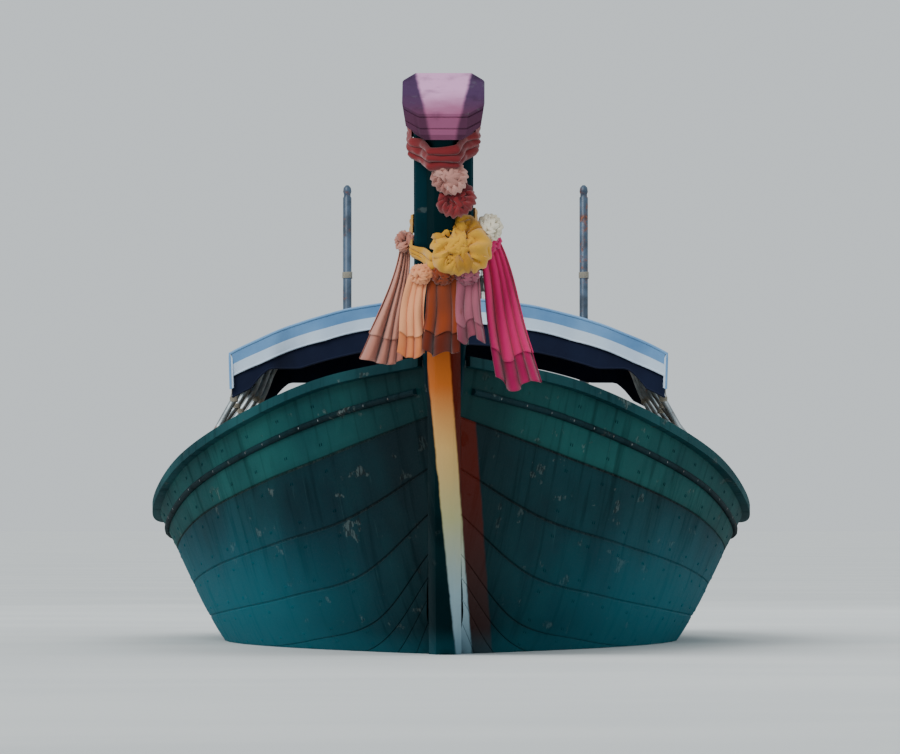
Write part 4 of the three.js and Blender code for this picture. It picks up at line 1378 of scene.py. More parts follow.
@dataclass
class Backbone:
    """Keel, stem with its painted stripe, the prow post behind it and the head on its top."""

    lines: HullLines
    # half-width and distance out of the keel's corners
    keel: tuple[Pair, ...] = ((0.022, 0.062), (0.031, 0.055), (0.040, -0.008))
    forefoot: float = 0.5
    neck: float = 1.745
    shoulder: float = 1.770
    # height, half-width and depth aft
    post: tuple[tuple[float, float, float], ...] = (
        (0.86, 0.062, 0.262), (1.01, 0.072, 0.254), (1.13, 0.092, 0.242),
        (1.28, 0.098, 0.226), (1.44, 0.098, 0.208), (1.745, 0.098, 0.196),
    )
    # share of the head's height above the shoulder, and depth of its two cut grooves there
    grooves: tuple[Pair, ...] = (
        (0.22, 0), (0.24, 0.004), (0.29, 0.004), (0.31, 0),
        (0.74, 0), (0.76, 0.004), (0.81, 0.004), (0.83, 0), (0.95, 0),
    )

    def build(self) -> None:
        """Builds the four timbers."""
        share = self.lines.stem_share
        keel = Form()
        keel.loft([
            self.lines.ring(s, self.keel) for s in spread(0.0, self.forefoot - 0.002, 70)
        ])
        keel.piece("keel_bar", "hull", ["hull"], "hull_paint", ["keel"], angle=30)
        stem = Form()
        rings = []
        for k, place in enumerate(spread(self.forefoot, share(self.neck), 110)):
            reach = min(0.062 + 0.05 * k / 14, 0.112)
            nose = [(0.020, reach), (0.030, reach - 0.004), (0.034, reach - 0.012)]
            rings.append(self.lines.ring(place, [*nose, (0.055, 0.042), (0.055, -0.008)]))
        stem.loft(rings)
        stem.piece("stem_bar", "hull", ["stem"], "stem_paint", ["stem"], angle=34)
        self._post()
        self._head()

    def _post(self) -> None:
        """Builds the prow post with rounded corners and bolts."""
        heights, halves, afts = zip(*self.post)
        form, rings = Form(), []
        for z in spread(heights[0], heights[-1], 60):
            half, aft = float(np.interp(z, heights, halves)), float(np.interp(z, heights, afts))
            fore_corner = [(half - 0.020, 0.0), (half - 0.008, -0.004), (half, -0.020)]
            aft_corner = [(half, 0.022 - aft), (half - 0.007, 0.007 - aft), (half - 0.024, -aft)]
            rings.append(self.lines.ring(self.lines.stem_share(z), fore_corner + aft_corner))
        form.loft(rings)
        form.coat = 1
        for z in (1.02, 1.12):
            point, _, out = self.lines.at_stem(z)
            half = float(np.interp(z, heights, halves))
            for back in (0.05, 0.15):
                for side in (1, -1):
                    spot = point - out * back + Vector((side * half, 0, 0))
                    form.bolt(spot, (side, 0, 0), 0.010)
        form.piece("prow_timber", "hull", ["post", "bolt"], "prow_paint", ["prow_post"], angle=34)

    def _head(self) -> None:
        """Builds the flared head with its eased edges and two cut grooves."""
        share = self.lines.stem_share
        low, mid, top = share(self.neck) + 1e-4, share(self.shoulder), 0.9999
        # place on the profile, half-width, reach fore, reach aft
        rows = [
            (low, 0.100, 0.116, 0.200), (low + (mid - low) * 0.4, 0.106, 0.121, 0.206),
            (low + (mid - low) * 0.8, 0.119, 0.133, 0.220), (mid, 0.124, 0.138, 0.226),
        ]
        for part, cut in self.grooves:
            half, fore, aft = 0.124 + 0.012 * part, 0.138 + 0.006 * part, 0.226 - 0.004 * part
            rows.append((mid + (top - mid) * part, half - cut, fore - cut, aft - cut))
        rows += [(mid + (top - mid) * 0.985, 0.132, 0.140, 0.218), (top, 0.124, 0.132, 0.210)]
        form, rings = Form(), []
        for place, half, fore, aft in rows:
            front = [(half * 0.6, fore), (half, fore * 0.45)]
            back = [(half, -aft * 0.7), (half * 0.7, -aft)]
            rings.append(self.lines.ring(place, eased(front + back, 0.016)))
        form.loft(rings)
        form.piece("prow_cap", "hull", ["head"], "head_paint", ["prow_head"], angle=34)


def eased(corners: Sequence[Pair], radius: float, steps: int = 4) -> list[Pair]:
    """Rounds the inner corners of an open flat path.

    Args:
        corners: the path's points.
        radius: how far from each corner its rounding starts.
        steps: how many steps each rounding has.
    Returns:
        The rounded path.
    """
    points = [corners[0]]
    for before, here, after in zip(corners, corners[1:], corners[2:]):
        b, h, a = (np.array(p) for p in (before, here, after))
        start = h + (b - h) / np.linalg.norm(b - h) * radius
        end = h + (a - h) / np.linalg.norm(a - h) * radius
        for t in spread(0, 1, steps):
            points.append(tuple(start * (1 - t) ** 2 + h * 2 * t * (1 - t) + end * t**2))
    return points + [corners[-1]]


# Cloths and canopy


def cloth(thing: bpy.types.Object, thick: float) -> bpy.types.Object:
    """Gives a sheet its thickness.

    Args:
        thing: the sheet.
        thick: its thickness.
    Returns:
        The same object.
    """
    shell = thing.modifiers.new("thickness", "SOLIDIFY")
    shell.thickness, shell.offset = thick, 0.0
    return thing


def area_of(form: Form) -> float:
    """Adds up the area of a form whose faces all have four corners.

    Args:
        form: the form.
    Returns:
        Its area in square metres.
    """
    total = 0.0
    for face in form.faces:
        start, *ways = (form.points[k] for k in face)
        one, two, three = (spot - start for spot in ways)
        total += (one.cross(two).length + two.cross(three).length) / 2
    return total


@dataclass(frozen=True)
class Bunch:
    """Gathered ends of a wrap: folded loops that spring from its knot.

    Its centre is x and z, ahead is its distance from the stem line, and half its half-sizes.
    """

    centre: Pair
    ahead: float
    half: tuple[float, float, float]
    loops: int
    coat: int


@dataclass
class ProwCloth:
    """The cloths tied round the prow: a red wrap, a yellow knot and five hanging tails."""

    lines: HullLines
    # half-width, reach fore and half-width aft of the stem
    stem: tuple[float, float, float] = (0.034, 0.112, 0.059)
    # half-width, reach aft and how much more it reaches low down
    post: tuple[float, float, float] = (0.098, 0.196, 0.066)
    neck: float = 1.745
    garland: Pair = (1.642, 1.725)
    knot: Pair = (1.270, 1.400)
    crest: float = 0.0148

    def outline(self, z: float, margin: float) -> list[Vector]:
        """Makes a ring round stem and post.

        Args:
            z: its height.
            margin: its distance from them.
        Returns:
            The ring's points.
        """
        half, fore, wide = self.stem
        post_half, aft, more = self.post
        aft += more * min(max((self.neck - z) / 0.5, 0), 1)
        front = [(half + margin, fore + margin), (wide + margin, 0.04)]
        back = [(post_half + margin, 0.0), (post_half + margin, -aft - margin)]
        return self.lines.ring(self.lines.stem_share(z), front + back)

    def around(self, z: float, margin: float, count: int) -> list[Vector]:
        """Spaces points evenly on the ring, from ahead of the stem and round to port first.

        Args:
            z: the ring's height.
            margin: its distance from stem and post.
            count: how many points it gets.
        Returns:
            The points.
        """
        ring = self.outline(z, margin)
        front = (ring[0] + ring[-1]) / 2
        loop = [front, *ring, front]
        walked = np.cumsum([0.0] + [(b - a).length for a, b in zip(loop, loop[1:])])
        picks = np.linspace(0, walked[-1], count, endpoint=False)
        coords = np.array([tuple(p) for p in loop])
        axes = [np.interp(picks, walked, coords[:, k]) for k in range(3)]
        return [Vector(spot) for spot in zip(*axes)]

    def band(
        self, form: Form, heights: Pair, thick: float, narrow: float, phase: float
    ) -> None:
        """Adds cloth wound round the post in three overlapping turns.

        Args:
            form: takes the cloth.
            heights: heights of the lower and the upper edge.
            thick: how far the folds stand out.
            narrow: share of its height that the band keeps on the starboard side.
            phase: shifts the folds.
        """
        turns, around, up = 3, 132, 36
        low, high = heights
        middle = (low + high) / 2
        inside = self.lines.at_stem(middle)[0].y + 0.05
        rows = []
        for t in spread(0, 1, up):
            fold = abs(math.sin(math.pi * turns * t)) ** 0.6
            fold *= math.sin(math.pi * min(max(t, 0.03), 0.97)) ** 0.4
            row = []
            ring = self.around(middle, 0.002 + thick * (0.25 + 0.75 * fold), around)
            for j, spot in enumerate(ring):
                angle = math.tau * j / around
                side = 0.5 + 0.5 * math.sin(angle)
                keep = narrow + (1 - narrow) * side
                lift = (t - 0.5) * (high - low) * keep
                slant = 0.010 * math.sin(angle + phase)
                slant += 0.004 * math.sin(5 * angle + phase * 3 + t * 4)
                crease = 0.0028 * math.sin(17 * angle + 9 * t + phase) * math.sin(math.pi * t)
                way = Vector((spot.x, spot.y - inside, 0)).normalized()
                lean = (lift + slant) * 0.36
                row.append(spot + way * crease + Vector((0, -lean, lift + slant)))
            rows.append(row)
        form.grid(rows, wrap=True)

    def loop(
        self, form: Form, start: Vector, way: Vector, size: Pair, tilt: Vector, dice: random.Random
    ) -> None:
        """Adds a folded loop of cloth that leaves the knot and comes back to it.

        Args:
            form: takes the loop.
            start: where it leaves the knot.
            way: the way that it points.
            size: how far it reaches and how wide it is.
            tilt: a direction that its cloth is square to.
            dice: the source of its unevenness.
        """
        reach, wide = size
        side = way.cross(tilt).normalized()
        lift = side.cross(way).normalized()
        steps, across = 26, 14
        fat, waves = reach * dice.uniform(0.22, 0.34), dice.choice((2, 3, 3))
        phase = dice.uniform(0, 6)
        rows = []
        for k in range(steps + 1):
            t = k / steps
            hump = math.sin(math.pi * t)
            out = hump**0.85 * reach
            bulge = math.sin(math.tau * t) * fat
            here = wide * (0.3 + 0.7 * hump**0.7)
            row = []
            for j in range(across + 1):
                s = j / across - 0.5
                wave = 0.1 * wide * math.sin(math.tau * waves * s + phase + 2.5 * t)
                wave *= 0.5 + 0.8 * hump
                edge = -reach * 0.22 * (2 * s) ** 2 * hump
                row.append(start + way * (out + edge) + lift * (bulge + wave) + side * here * s)
            rows.append(row)
        form.grid(rows)

    def bunch(self, form: Form, bunch: Bunch, seed: int) -> None:
        """Adds the gathered ends of a wrap as a rosette of loops.

        Args:
            form: takes the loops.
            bunch: where it is and its size.
            seed: seeds its unevenness.
        """
        dice = random.Random(seed)
        x, z = bunch.centre
        point, _, out = self.lines.at_stem(z)
        start = Vector((x, 0, 0)) + point + out * (bunch.ahead - 0.02)
        form.coat = bunch.coat
        for k in range(bunch.loops):
            angle = math.tau * (k + dice.uniform(-0.2, 0.2)) / bunch.loops
            depth = dice.uniform(0.15, 0.75)
            way = Vector((math.cos(angle), -depth, math.sin(angle))).normalized()
            reach = 1 / math.sqrt(sum((way[a] / bunch.half[a]) ** 2 for a in range(3)))
            form.shade = dice.uniform(0.1, 0.9)
            size = (reach * dice.uniform(0.86, 1.0), reach * dice.uniform(0.75, 1.05))
            self.loop(form, start, way, size, Vector((0, -1, 0.2)), dice)
        size, count = (bunch.half[1] * 0.92, bunch.half[0] * 0.9), max(3, bunch.loops // 2)
        for c, s in circle(1.0, count, 0.4):
            way = Vector((c * 0.5, -1, s * 0.5)).normalized()
            form.shade = dice.uniform(0.2, 1.0)
            self.loop(form, start, way, size, Vector((s, 0, c)), dice)
        scale = min(1.0, (min(bunch.half) / 0.06) ** 1.6)
        core = ((0.0, 0.008), (0.012, 0.024), (0.034, 0.028), (0.05, 0.018), (0.056, 0.004))
        profile = [(along * scale, radius * scale) for along, radius in core]
        form.turned(start - out * 0.01, out, profile, 14)

    def tail(
        self,
        form: Form,
        top: Vector,
        widths: Pair,
        feet: Pair,
        drop: float,
        deep: float,
        pleats: int,
        seed: int,
        flare: float = 0.5,
        cover: float = 1.0,
    ) -> None:
        """Adds a pleated tail that hangs down and spreads.

        Args:
            form: takes the cloth.
            top: where the middle of its upper edge is.
            widths: limits of x at the top.
            feet: limits of x at the foot.
            drop: its height.
            deep: half the depth of its pleats at the foot.
            pleats: how many pleats it has.
            seed: seeds its unevenness.
            flare: how late it spreads; above 1 most of it spreads near the foot.
            cover: share of the drop that this layer reaches down.
        """
        dice = random.Random(seed)
        phase, sway = dice.uniform(0, 6), dice.uniform(0.6, 1.2)
        waves = [(dice.uniform(2, 5), dice.uniform(0, 6)) for _ in range(3)]
        rows = []
        for down in spread(0, 1, 46):
            t = cover * down
            share = t**flare
            left, right = (wide + (foot - wide) * share for wide, foot in zip(widths, feet))
            row = []
            for s in spread(0, 1, 64):
                turn = math.tau * pleats * (s + 0.055 * math.sin(math.tau * s + phase)) + phase
                turn += 0.9 * math.sin(2.2 * t * sway + s * 2)
                depth = deep * (0.3 + 0.7 * t) * (0.72 + 0.28 * math.sin(5 * s + phase))
                squeeze = 0.16 * (right - left) * math.cos(turn) / pleats
                ragged = sum(math.sin(f * s * 2.6 + p) for f, p in waves) * 0.007 * down**3
                hem = 0.05 * drop * (math.sin(math.pi * s) - 1) * down**4
                x = left + (right - left) * s + squeeze
                x += 0.006 * math.sin(4 * t + phase) * math.sin(math.pi * t)
                y = top.y + depth * math.sin(turn) * 0.92
                y += 0.004 * math.sin(11 * t + 5 * s + phase)
                row.append((x, y, top.z - drop * t - hem + ragged))
            rows.append(row)
        form.grid(rows)

    def build(self) -> None:
        """Builds all the cloths."""
        rose = Bunch((0.022, 1.618), 0.110, (0.078, 0.060, 0.070), 7, 1)
        maroon = Bunch((0.040, 1.545), 0.100, (0.088, 0.062, 0.076), 7, 0)
        gold = Bunch((0.052, 1.392), 0.100, (0.128, 0.085, 0.118), 11, 0)
        cream = Bunch((0.150, 1.440), 0.070, (0.052, 0.052, 0.050), 6, 1)
        red = Form(shade=0.4)
        self.band(red, self.garland, 0.020, 0.9, 0.4)
        self.bunch(red, rose, 12)
        self.bunch(red, maroon, 21)
        self._declare(red, "red_wrap", ["red", "rose"], "red_cloth", 0.45, ["garland"])
        yellow = Form(shade=0.5)
        self.band(yellow, self.knot, 0.013, 0.3, 1.9)
        self.bunch(yellow, gold, 5)
        self.bunch(yellow, cream, 3)
        coats = ["yellow", "cream"]
        self._declare(yellow, "yellow_wrap", coats, "yellow_cloth", 0.6, ["scarf_knot"])
        self._side_tails()
        self._front_tails()

    def _side_tails(self) -> None:
        """Builds the tails beside the post, one on each side, with a crown on top."""
        middle = sum(self.knot) / 2
        point, _, out = self.lines.at_stem(middle)
        top = point - out * 0.110
        # name, side, width at the top, limits at the foot, height of the foot, lateness of spread
        for name, side, width, feet, foot, flare in (
            ("magenta", 1, 0.070, (0.175, 0.330), 0.895, 0.8),
            ("salmon", -1, 0.030, (0.140, 0.285), 0.970, 1.3),
        ):
            start, drop, seed = self.post[0] + self.crest, top.z - foot, len(name)
            tops = (start, start + width)
            form = Form(shade=0.3)
            self.tail(form, top, tops, feet, drop, 0.032, 4, seed, flare)
            form.shade = 0.8
            before = top - Vector((0, 0.007, 0))
            self.tail(form, before, tops, feet, drop, 0.032, 4, seed, flare, 0.8)
            half = (0.026 + width / 3, 0.06, 0.04)
            self.bunch(form, Bunch((sum(tops) / 2, middle), -0.075, half, 6, 0), seed + 40)
            form = form if side > 0 else form.mirrored()
            nodes = [f"scarf_{name}"]
            self._declare(form, f"{name}_tail", [name], f"{name}_cloth", drop, nodes)

    def _front_tails(self) -> None:
        """Builds the three tails ahead of the stem, each with a crown on top."""
        point, _, out = self.lines.at_stem(sum(self.knot) / 2)
        top = point + out * (self.stem[1] + self.crest) + Vector((0, 0.024, 0))
        half = (0.046, 0.044, 0.040)
        # name, limits at the top and at the foot, height of the foot, nodes, slot
        for name, tops, feet, foot, nodes, slot in (
            ("orange", (-0.098, -0.045), (-0.150, -0.060), 0.988, ["scarf_orange"], "orange_cloth"),
            ("rust", (-0.040, 0.040), (-0.082, 0.050), 1.000, [], "orange_cloth"),
            ("mauve", (0.044, 0.108), (0.050, 0.142), 1.045, [], "magenta_cloth"),
        ):
            form, drop, seed = Form(shade=0.3), top.z - foot, len(name) + 11
            self.tail(form, top, tops, feet, drop, 0.020, 3, seed)
            form.shade = 0.9
            before = top - Vector((0, 0.006, 0))
            self.tail(form, before, tops, feet, drop, 0.020, 3, seed, cover=0.76)
            crown = Bunch((sum(tops) / 2, top.z + 0.038), 0.136, half, 7, 0)
            self.bunch(form, crown, len(name) + 77)
            self._declare(form, f"{name}_tail", [name], slot, drop, nodes)

    def _declare(
        self,
        form: Form,
        name: str,
        coats: list[str],
        slot: str,
        wide: float,
        nodes: Sequence[str],
    ) -> None:
        """Makes a cloth piece and states the flat size that its area comes from.

        Args:
            form: the cloth.
            name: the piece's name.
            coats: its finishes.
            slot: the name of a material slot, passed on to Form.piece.
            wide: the flat cloth's width.
            nodes: the CAD nodes that it stands for.
        """
        area = area_of(Form(form.points, [f for f in form.faces if len(f) == 4]))
        thing = cloth(form.piece(name, "hull", coats, slot, nodes, angle=60), 0.0016)
        LOG.info("%s: %.2f by %.2f m flat", name, wide, area / wide)


@dataclass
class Canopy:
    """The arched cover with its hem, on laths and tube hoops that stand in the rails."""

    lines: HullLines
    fore: float = -1.45
    aft: float = 2.65
    half: float = 0.79
    crown: float = 1.26
    eave: float = 1.062
    hem: float = 0.932
    thick: float = 0.006
    sag: float = 0.003
    hoops: tuple[float, ...] = (-1.3, -0.3, 0.7, 1.7, 2.56)
    turns: tuple[float, ...] = (-18.0, 0.0, 18.0)
    tube: float = 0.012
    # width and thickness
    lath: Pair = (0.030, 0.008)
    bow: float = 0.88
    fascia: float = 0.092
    # depth of the dark curtain at each end, painted shade that stands in for the shade under the
    # cover
    shade_curtain: float = 0.165
    headroom: float = 1.006
    flap_rows: int = 7

    def __post_init__(self) -> None:
        """Works out the arc of the cover."""
        rise = self.crown - self.eave
        self.radius = (self.half**2 + rise**2) / (2 * rise)
        self.centre = self.crown - self.radius
        self.half_angle = math.asin(self.half / self.radius)

    def at(self, angle: float, radius: float, y: float) -> Vector:
        """Returns a point at an angle from the crown and a distance from the arc's centre."""
        return Vector((radius * math.sin(angle), y, self.centre + radius * math.cos(angle)))

    def _skin(
        self, ys: Sequence[float], angles: Sequence[float], depth: float
    ) -> list[list[Vector]]:
        """Makes the cover's sheet, hollow between the hoops and scalloped at the hem.

        Args:
            ys: the places of its rows.
            angles: the places of its points on the arc.
            depth: how far it lies inside the cover's outside.
        Returns:
            Rows of points, each from hem to hem.
        """
        rows = []
        marks = [self.fore, *self.hoops, self.aft]
        stays = [-self.half_angle, *(math.radians(t) for t in self.turns), self.half_angle]
        for y in ys:
            along = math.sin(math.pi * self._between(marks, y))
            row = []
            for a in angles:
                across = math.sin(math.pi * self._between(stays, a))
                wrinkle = 0.0012 * math.sin(a * 46 + y * 9) * (1 - along) * across
                hollow = 0.0005 + depth + self.sag * along * across
                row.append(self.at(a, self.radius - hollow + wrinkle, y))
            flaps = []
            for side, edge in ((-1, row[0]), (1, row[-1])):
                flap = []
                for t in spread(0.12, 1, self.flap_rows - 1):
                    pull = 0.008 * along * math.sin(math.pi * 0.5 * t)
                    z = edge.z + (self.hem + 0.002 - edge.z) * t + 0.004 * along * t
                    flap.append(Vector((edge.x - side * (pull + 0.004 * t), y, z)))
                flaps.append(flap)
            rows.append([*reversed(flaps[0]), *row, *flaps[1]])
        return rows

    @staticmethod
    def _between(marks: Sequence[float], value: float) -> float:
        """Returns how far a value lies from one of the rising marks to the next, from 0 to 1."""
        low, high = next(pair for pair in zip(marks, marks[1:]) if value <= pair[1] + 1e-9)
        return (value - low) / (high - low)

    def build(self) -> None:
        """Builds cover, laths, hoops and lashings."""
        ys = sorted({*spread(self.fore, self.aft, 96), *self.hoops})
        angles = spread(-self.half_angle, self.half_angle, 56)
        outer, inner = self._skin(ys, angles, 0.0), self._skin(ys, angles, self.thick)
        flap = self.flap_rows
        for row in inner:
            for point in row[:flap] + row[-flap:]:
                point.x -= math.copysign(self.thick, point.x)
        rings = [[*o, *reversed(i)] for o, i in zip(outer, inner)]
        count = len(outer[0])
        form = Form()

        def paint(i: int, j: int) -> tuple[int, float]:
            """Paints a face of the cover.

            Args:
                i: its row.
                j: its column.
            Returns:
                Its coat, of outside, hem or lining, and its tone.
            """
            shade = 0.35 + 0.22 * (ys[i] > self.hoops[2])
            # Inner faces take the near-black lining, partly painted shade under the cover
            if j >= count:
                return (2 if flap + 1 < j - count < count - flap - 2 else 1), shade
            hem = j < flap - 1 or j > count - flap - 1 or i < 1 or i > len(ys) - 3
            return int(hem), shade

        form.loft(rings, paint=paint)
        form.coat, form.shade = 1, 0.6
        for side, inward in ((0, 0.003), (count - 1, -0.003)):
            form.tube([row[side] + Vector((inward, 0, 0.004)) for row in outer], 0.0058, 10)
        form.coat = 0
        for row, inward in ((outer[0], 0.004), (outer[-1], -0.004)):
            form.tube([p + Vector((0, inward, -0.004)) for p in row], 0.0055, 8)
        form.coat = 3
        lift = Vector((0, 0, 0.001))
        for side in (flap - 1, count - flap):
            for k in range(1, len(ys) - 1):
                a, b = outer[k][side], outer[k + 1][side]
                for t in (0.1, 0.43, 0.76):
                    form.tube([a.lerp(b, t) + lift, a.lerp(b, t + 0.2) + lift], 0.0009, 5)
        coats = ["canopy", "hem", "lining_and_shade_cloth", "cream"]
        cover = form.piece(
            "canopy_sheet", "hull", coats, "canopy_cloth", ["canopy_cover"], angle=50
        )
        self._frame()
        self._ends()
        wide = 2 * self.radius * self.half_angle + 2 * (self.eave - self.hem)
        LOG.info("canopy: %.2f by %.2f m flat", wide, self.aft - self.fore)

    def _drape(
        self, form: Form, y: float, outward: int, foot: Callable[[float], float], blue: float
    ) -> None:
        """Adds cloth that hangs across one end of the cover.

        Args:
            form: takes the cloth.
            y: the place of its middle.
            outward: -1 where it faces ahead, 1 where it faces aft.
            foot: the height of its lower edge as a function of x.
            blue: share of its height that has the cover's own blue; the rest is pale.
        """
        steps, half = 8, 0.0022
        rings, hem = [], []
        for angle in spread(-self.half_angle * 0.994, self.half_angle * 0.994, 90):
            top = self.at(angle, self.radius - self.thick - 0.001, y)
            low = foot(top.x)
            wave = 0.004 * math.sin(top.x * 31) + 0.0025 * math.sin(top.x * 73 + 1)
            line = [
                Vector((top.x, y + wave * t, top.z + (low - top.z) * t))
                for t in spread(0, 1, steps)
            ]
            out = Vector((0, outward * half, 0))
            rings.append([p + out for p in line] + [p - out for p in reversed(line)])
            hem.append(line[-1])

        def paint(_: int, j: int) -> tuple[int, float]:
            """Gives the outside its two colours and the inside its lining."""
            return (int((j + 0.5) / steps >= blue) if j < steps else 2), 0.5

        form.loft(rings, paint=paint)
        form.coat = 1
        form.tube(hem, 0.0042, 8)

    def _ends(self) -> None:
        """Builds the pale valance and the dark curtain behind it at both ends; the curtain is
        painted shade that stands in for the shaded underside of the cover.
        """

        def arch(x: float) -> float:
            """Returns the height of the cover's arc."""
            return self.centre + math.sqrt(self.radius**2 - x * x)

        def valance(x: float) -> float:
            """Returns the height of the valance's scalloped edge."""
            return arch(x) - self.fascia + 0.004 * abs(math.sin(x * 14))

        def shade_curtain(x: float) -> float:
            """Leaves the way in below the curtain free.

            Args:
                x: the place athwart.
            Returns:
                The height of the curtain's edge.
            """
            ends = min(max((abs(x) - 0.645) / 0.07, 0), 1)
            low = arch(x) - self.shade_curtain
            return low + max(self.headroom - low, 0) * (1 - ends)

        wide = 2 * self.radius * self.half_angle
        for name, foot, inset, deep, blue in (
            ("canopy_valance", valance, 0.004, self.fascia, 0.5),
            ("canopy_shade_curtain", shade_curtain, 0.014, self.shade_curtain, 0.0),
        ):
            form = Form()
            for y, outward in ((self.fore + inset, -1), (self.aft - inset, 1)):
                self._drape(form, y, outward, foot, blue)
            coats = ["canopy", "hem", "lining_and_shade_cloth"] if blue else ["lining_and_shade_cloth"] * 3
            piece = form.piece(name, "hull", coats, "canopy_cloth", angle=50)
            LOG.info("%s: %.2f by %.2f m flat", name, wide, 2 * deep)

    def _frame(self) -> None:
        """Builds the laths, the hoops with their feet, and the cord that ties the hem down."""
        wide, deep = self.lath
        arc_radius = self.radius - 0.0116 - self.tube
        top = arc_radius - self.tube - FIT
        laths, dice = Form(), random.Random(6)
        for turn in self.turns:
            half = wide / 2 / self.radius
            left, right = math.radians(turn) - half, math.radians(turn) + half
            laths.shade = dice.random()
            corners = ((left, top), (right, top), (right, top - deep), (left, top - deep))
            laths.loft([
                [self.at(angle, radius, y) for angle, radius in corners]
                for y in spread(self.hoops[0] - 0.11, self.hoops[-1] + 0.055, 30)
            ])
        laths.piece("canopy_laths", "hull", ["seat"], "bare_wood", ["canopy_batten"], bevel=0.002)

        places = np.linspace(0, 1, 201)
        edge = self.lines.surface(places, [1.0])[:, 0]
        inner = self.lines.skin(places, [1.0], self.lines.plank - 0.008)[:, 0]
        flip = Vector((-1, 1, 1))
        hoops = Form()
        for y in self.hoops:
            sheer = at_y(edge, y)[2]
            foot = Vector((at_y(inner, y)[0], y, sheer + 0.012))
            bow = [
                self.at(s * self.half_angle, arc_radius - 0.008 * (abs(s) >= self.bow), y)
                for s in spread(self.bow, -self.bow, 12)
            ]
            elbow = Vector((self.half - 0.030, y, self.hem - 0.004))
            path = smooth([foot, elbow, *bow, elbow * flip, foot * flip], 96)
            hoops.coat, hoops.shade = 0, 0.5
            hoops.tube(path, self.tube, 14)
            rail = sheer + FIT + 0.034
            for side, leg in ((1, path[:20]), (-1, path[:-21:-1])):
                self._foot(hoops, leg, rail, side)
                self._lashing(hoops, leg, y, side)
            hoops.coat = 2
            for turn in self.turns:
                for shift in (-0.009, 0.0, 0.009):
                    hoops.tube(self._tie(turn, arc_radius, y + shift), 0.0016, 6, ends=False)
        nodes = [f"canopy_hoop_{k + 1}" for k in range(len(self.hoops))]
        hoops.piece("canopy_tubes", "hull", ["tube", "bolt", "rope"], "galvanised_tube", nodes)

    def _tie(self, turn: float, radius: float, y: float) -> list[Vector]:
        """Returns a turn of cord round a lath and a hoop.

        Args:
            turn: the lath's angle from the crown, in degrees.
            radius: the hoop's distance from the arc's centre.
            y: the place of the turn.
        Returns:
            The turn's points.
        """
        middle = math.radians(turn)
        return [
            self.at(
                middle + 0.019 * math.cos(a) / self.radius,
                radius - 0.0045 + 0.0185 * math.sin(a),
                y + 0.002 * math.sin(2 * a),
            )
            for a in spread(0, math.tau, 20)
        ]

    @staticmethod
    def _foot(form: Form, leg: Sequence[Vector], rail: float, side: int) -> None:
        """Adds the flange and the socket of a hoop's leg.

        Args:
            form: takes them.
            leg: the leg's points, from its foot up.
            rail: the height of the rail's top.
            side: 1 for port, -1 for starboard.
        """
        form.coat = 1
        slope = (leg[1] - leg[0]).normalized()
        seat = leg[0] + slope * ((rail - leg[0].z) / slope.z)
        form.rod(seat, seat + Vector((0, 0, 0.004)), 0.031, 24)
        form.rod(seat, seat + slope * 0.030, 0.0165, 18)
        for shift in (-0.023, 0.023):
            form.bolt(seat + Vector((0, shift, 0.003)), UP, 0.006)
        spot = seat + slope * 0.018 + Vector((side * 0.015, 0, 0))
        form.bolt(spot, (side, 0, 0), 0.005, False)

    def _lashing(self, form: Form, leg: Sequence[Vector], y: float, side: int) -> None:
        """Adds the eyelet in the hem and the cord from it round the hoop's leg.

        Args:
            form: takes them.
            leg: the leg's points.
            y: the hoop's place.
            side: 1 for port, -1 for starboard.
        """
        eye = Vector((side * (self.half - 0.004), y, self.hem + 0.018))
        form.coat = 1
        ring = circle(0.009, 18) + [(0.009, 0.0)]
        form.tube([eye + Vector((side * 0.002, *pair)) for pair in ring], 0.0022, 6, ends=False)
        near = min(leg, key=lambda p: abs(p.z - (self.hem - 0.035)))
        form.coat = 2
        for shift in (-0.004, 0.004):
            middle = (eye + near) / 2 + Vector((side * 0.004, shift, -0.004))
            end = near + Vector((side * 0.0135, shift, 0))
            form.tube([eye + Vector((0, shift, 0)), middle, end], 0.0018, 6)
        for k in range(4):
            form.coil(near + Vector((0, 0, 0.0045 * k - 0.008)), 0.0138, 0.0021, 18, 0.0006)


@dataclass
class Poles:
    """The two thin poles that stand on the stern deck behind the canopy."""

    y: float = 2.8
    spots: tuple[tuple[str, float], ...] = (("port", 0.520), ("starboard", -0.420))
    foot: float = 0.3554
    top: float = 1.79
    radius: float = 0.017

    def build(self) -> None:
        """Builds each pole with its socket, bands and knob."""
        tall, radius = self.top - self.foot, self.radius
        shaft = [
            (0.0, radius), (tall - 0.05, radius), (tall - 0.045, radius * 0.8),
            (tall - 0.036, radius * 0.8), (tall - 0.026, radius), (tall - 0.010, radius * 0.86),
            (tall, radius * 0.3),
        ]
        socket = [(0, 0.042), (0.005, 0.042), (0.006, 0.023), (0.09, 0.022), (0.092, 0.0175)]
        for name, x in self.spots:
            form = Form()
            form.turned((x, self.y, self.foot), UP, shaft, 24)
            form.coat = 1
            form.turned((x, self.y, self.foot), UP, socket, 28)
            for a in (0.8, 2.4, 3.9, 5.5):
                spot = (x + 0.034 * math.cos(a), self.y + 0.034 * math.sin(a), self.foot + 0.005)
                form.bolt(spot, UP, 0.005, False)
            form.bolt((x, self.y - 0.021, self.foot + 0.06), (0, -1, 0), 0.006)
            form.coat = 2
            for z in (0.98, 1.42):
                for k in range(5):
                    form.coil((x, self.y, z + 0.0048 * k), 0.0185, 0.0024, 16, 0.0007)
            coats = ["blue_steel", "bolt", "rope"]
            form.piece(f"pole_tube_{name}", "hull", coats, "painted_steel", [f"pole_{name}"])


# Decks, thwarts and stern gear


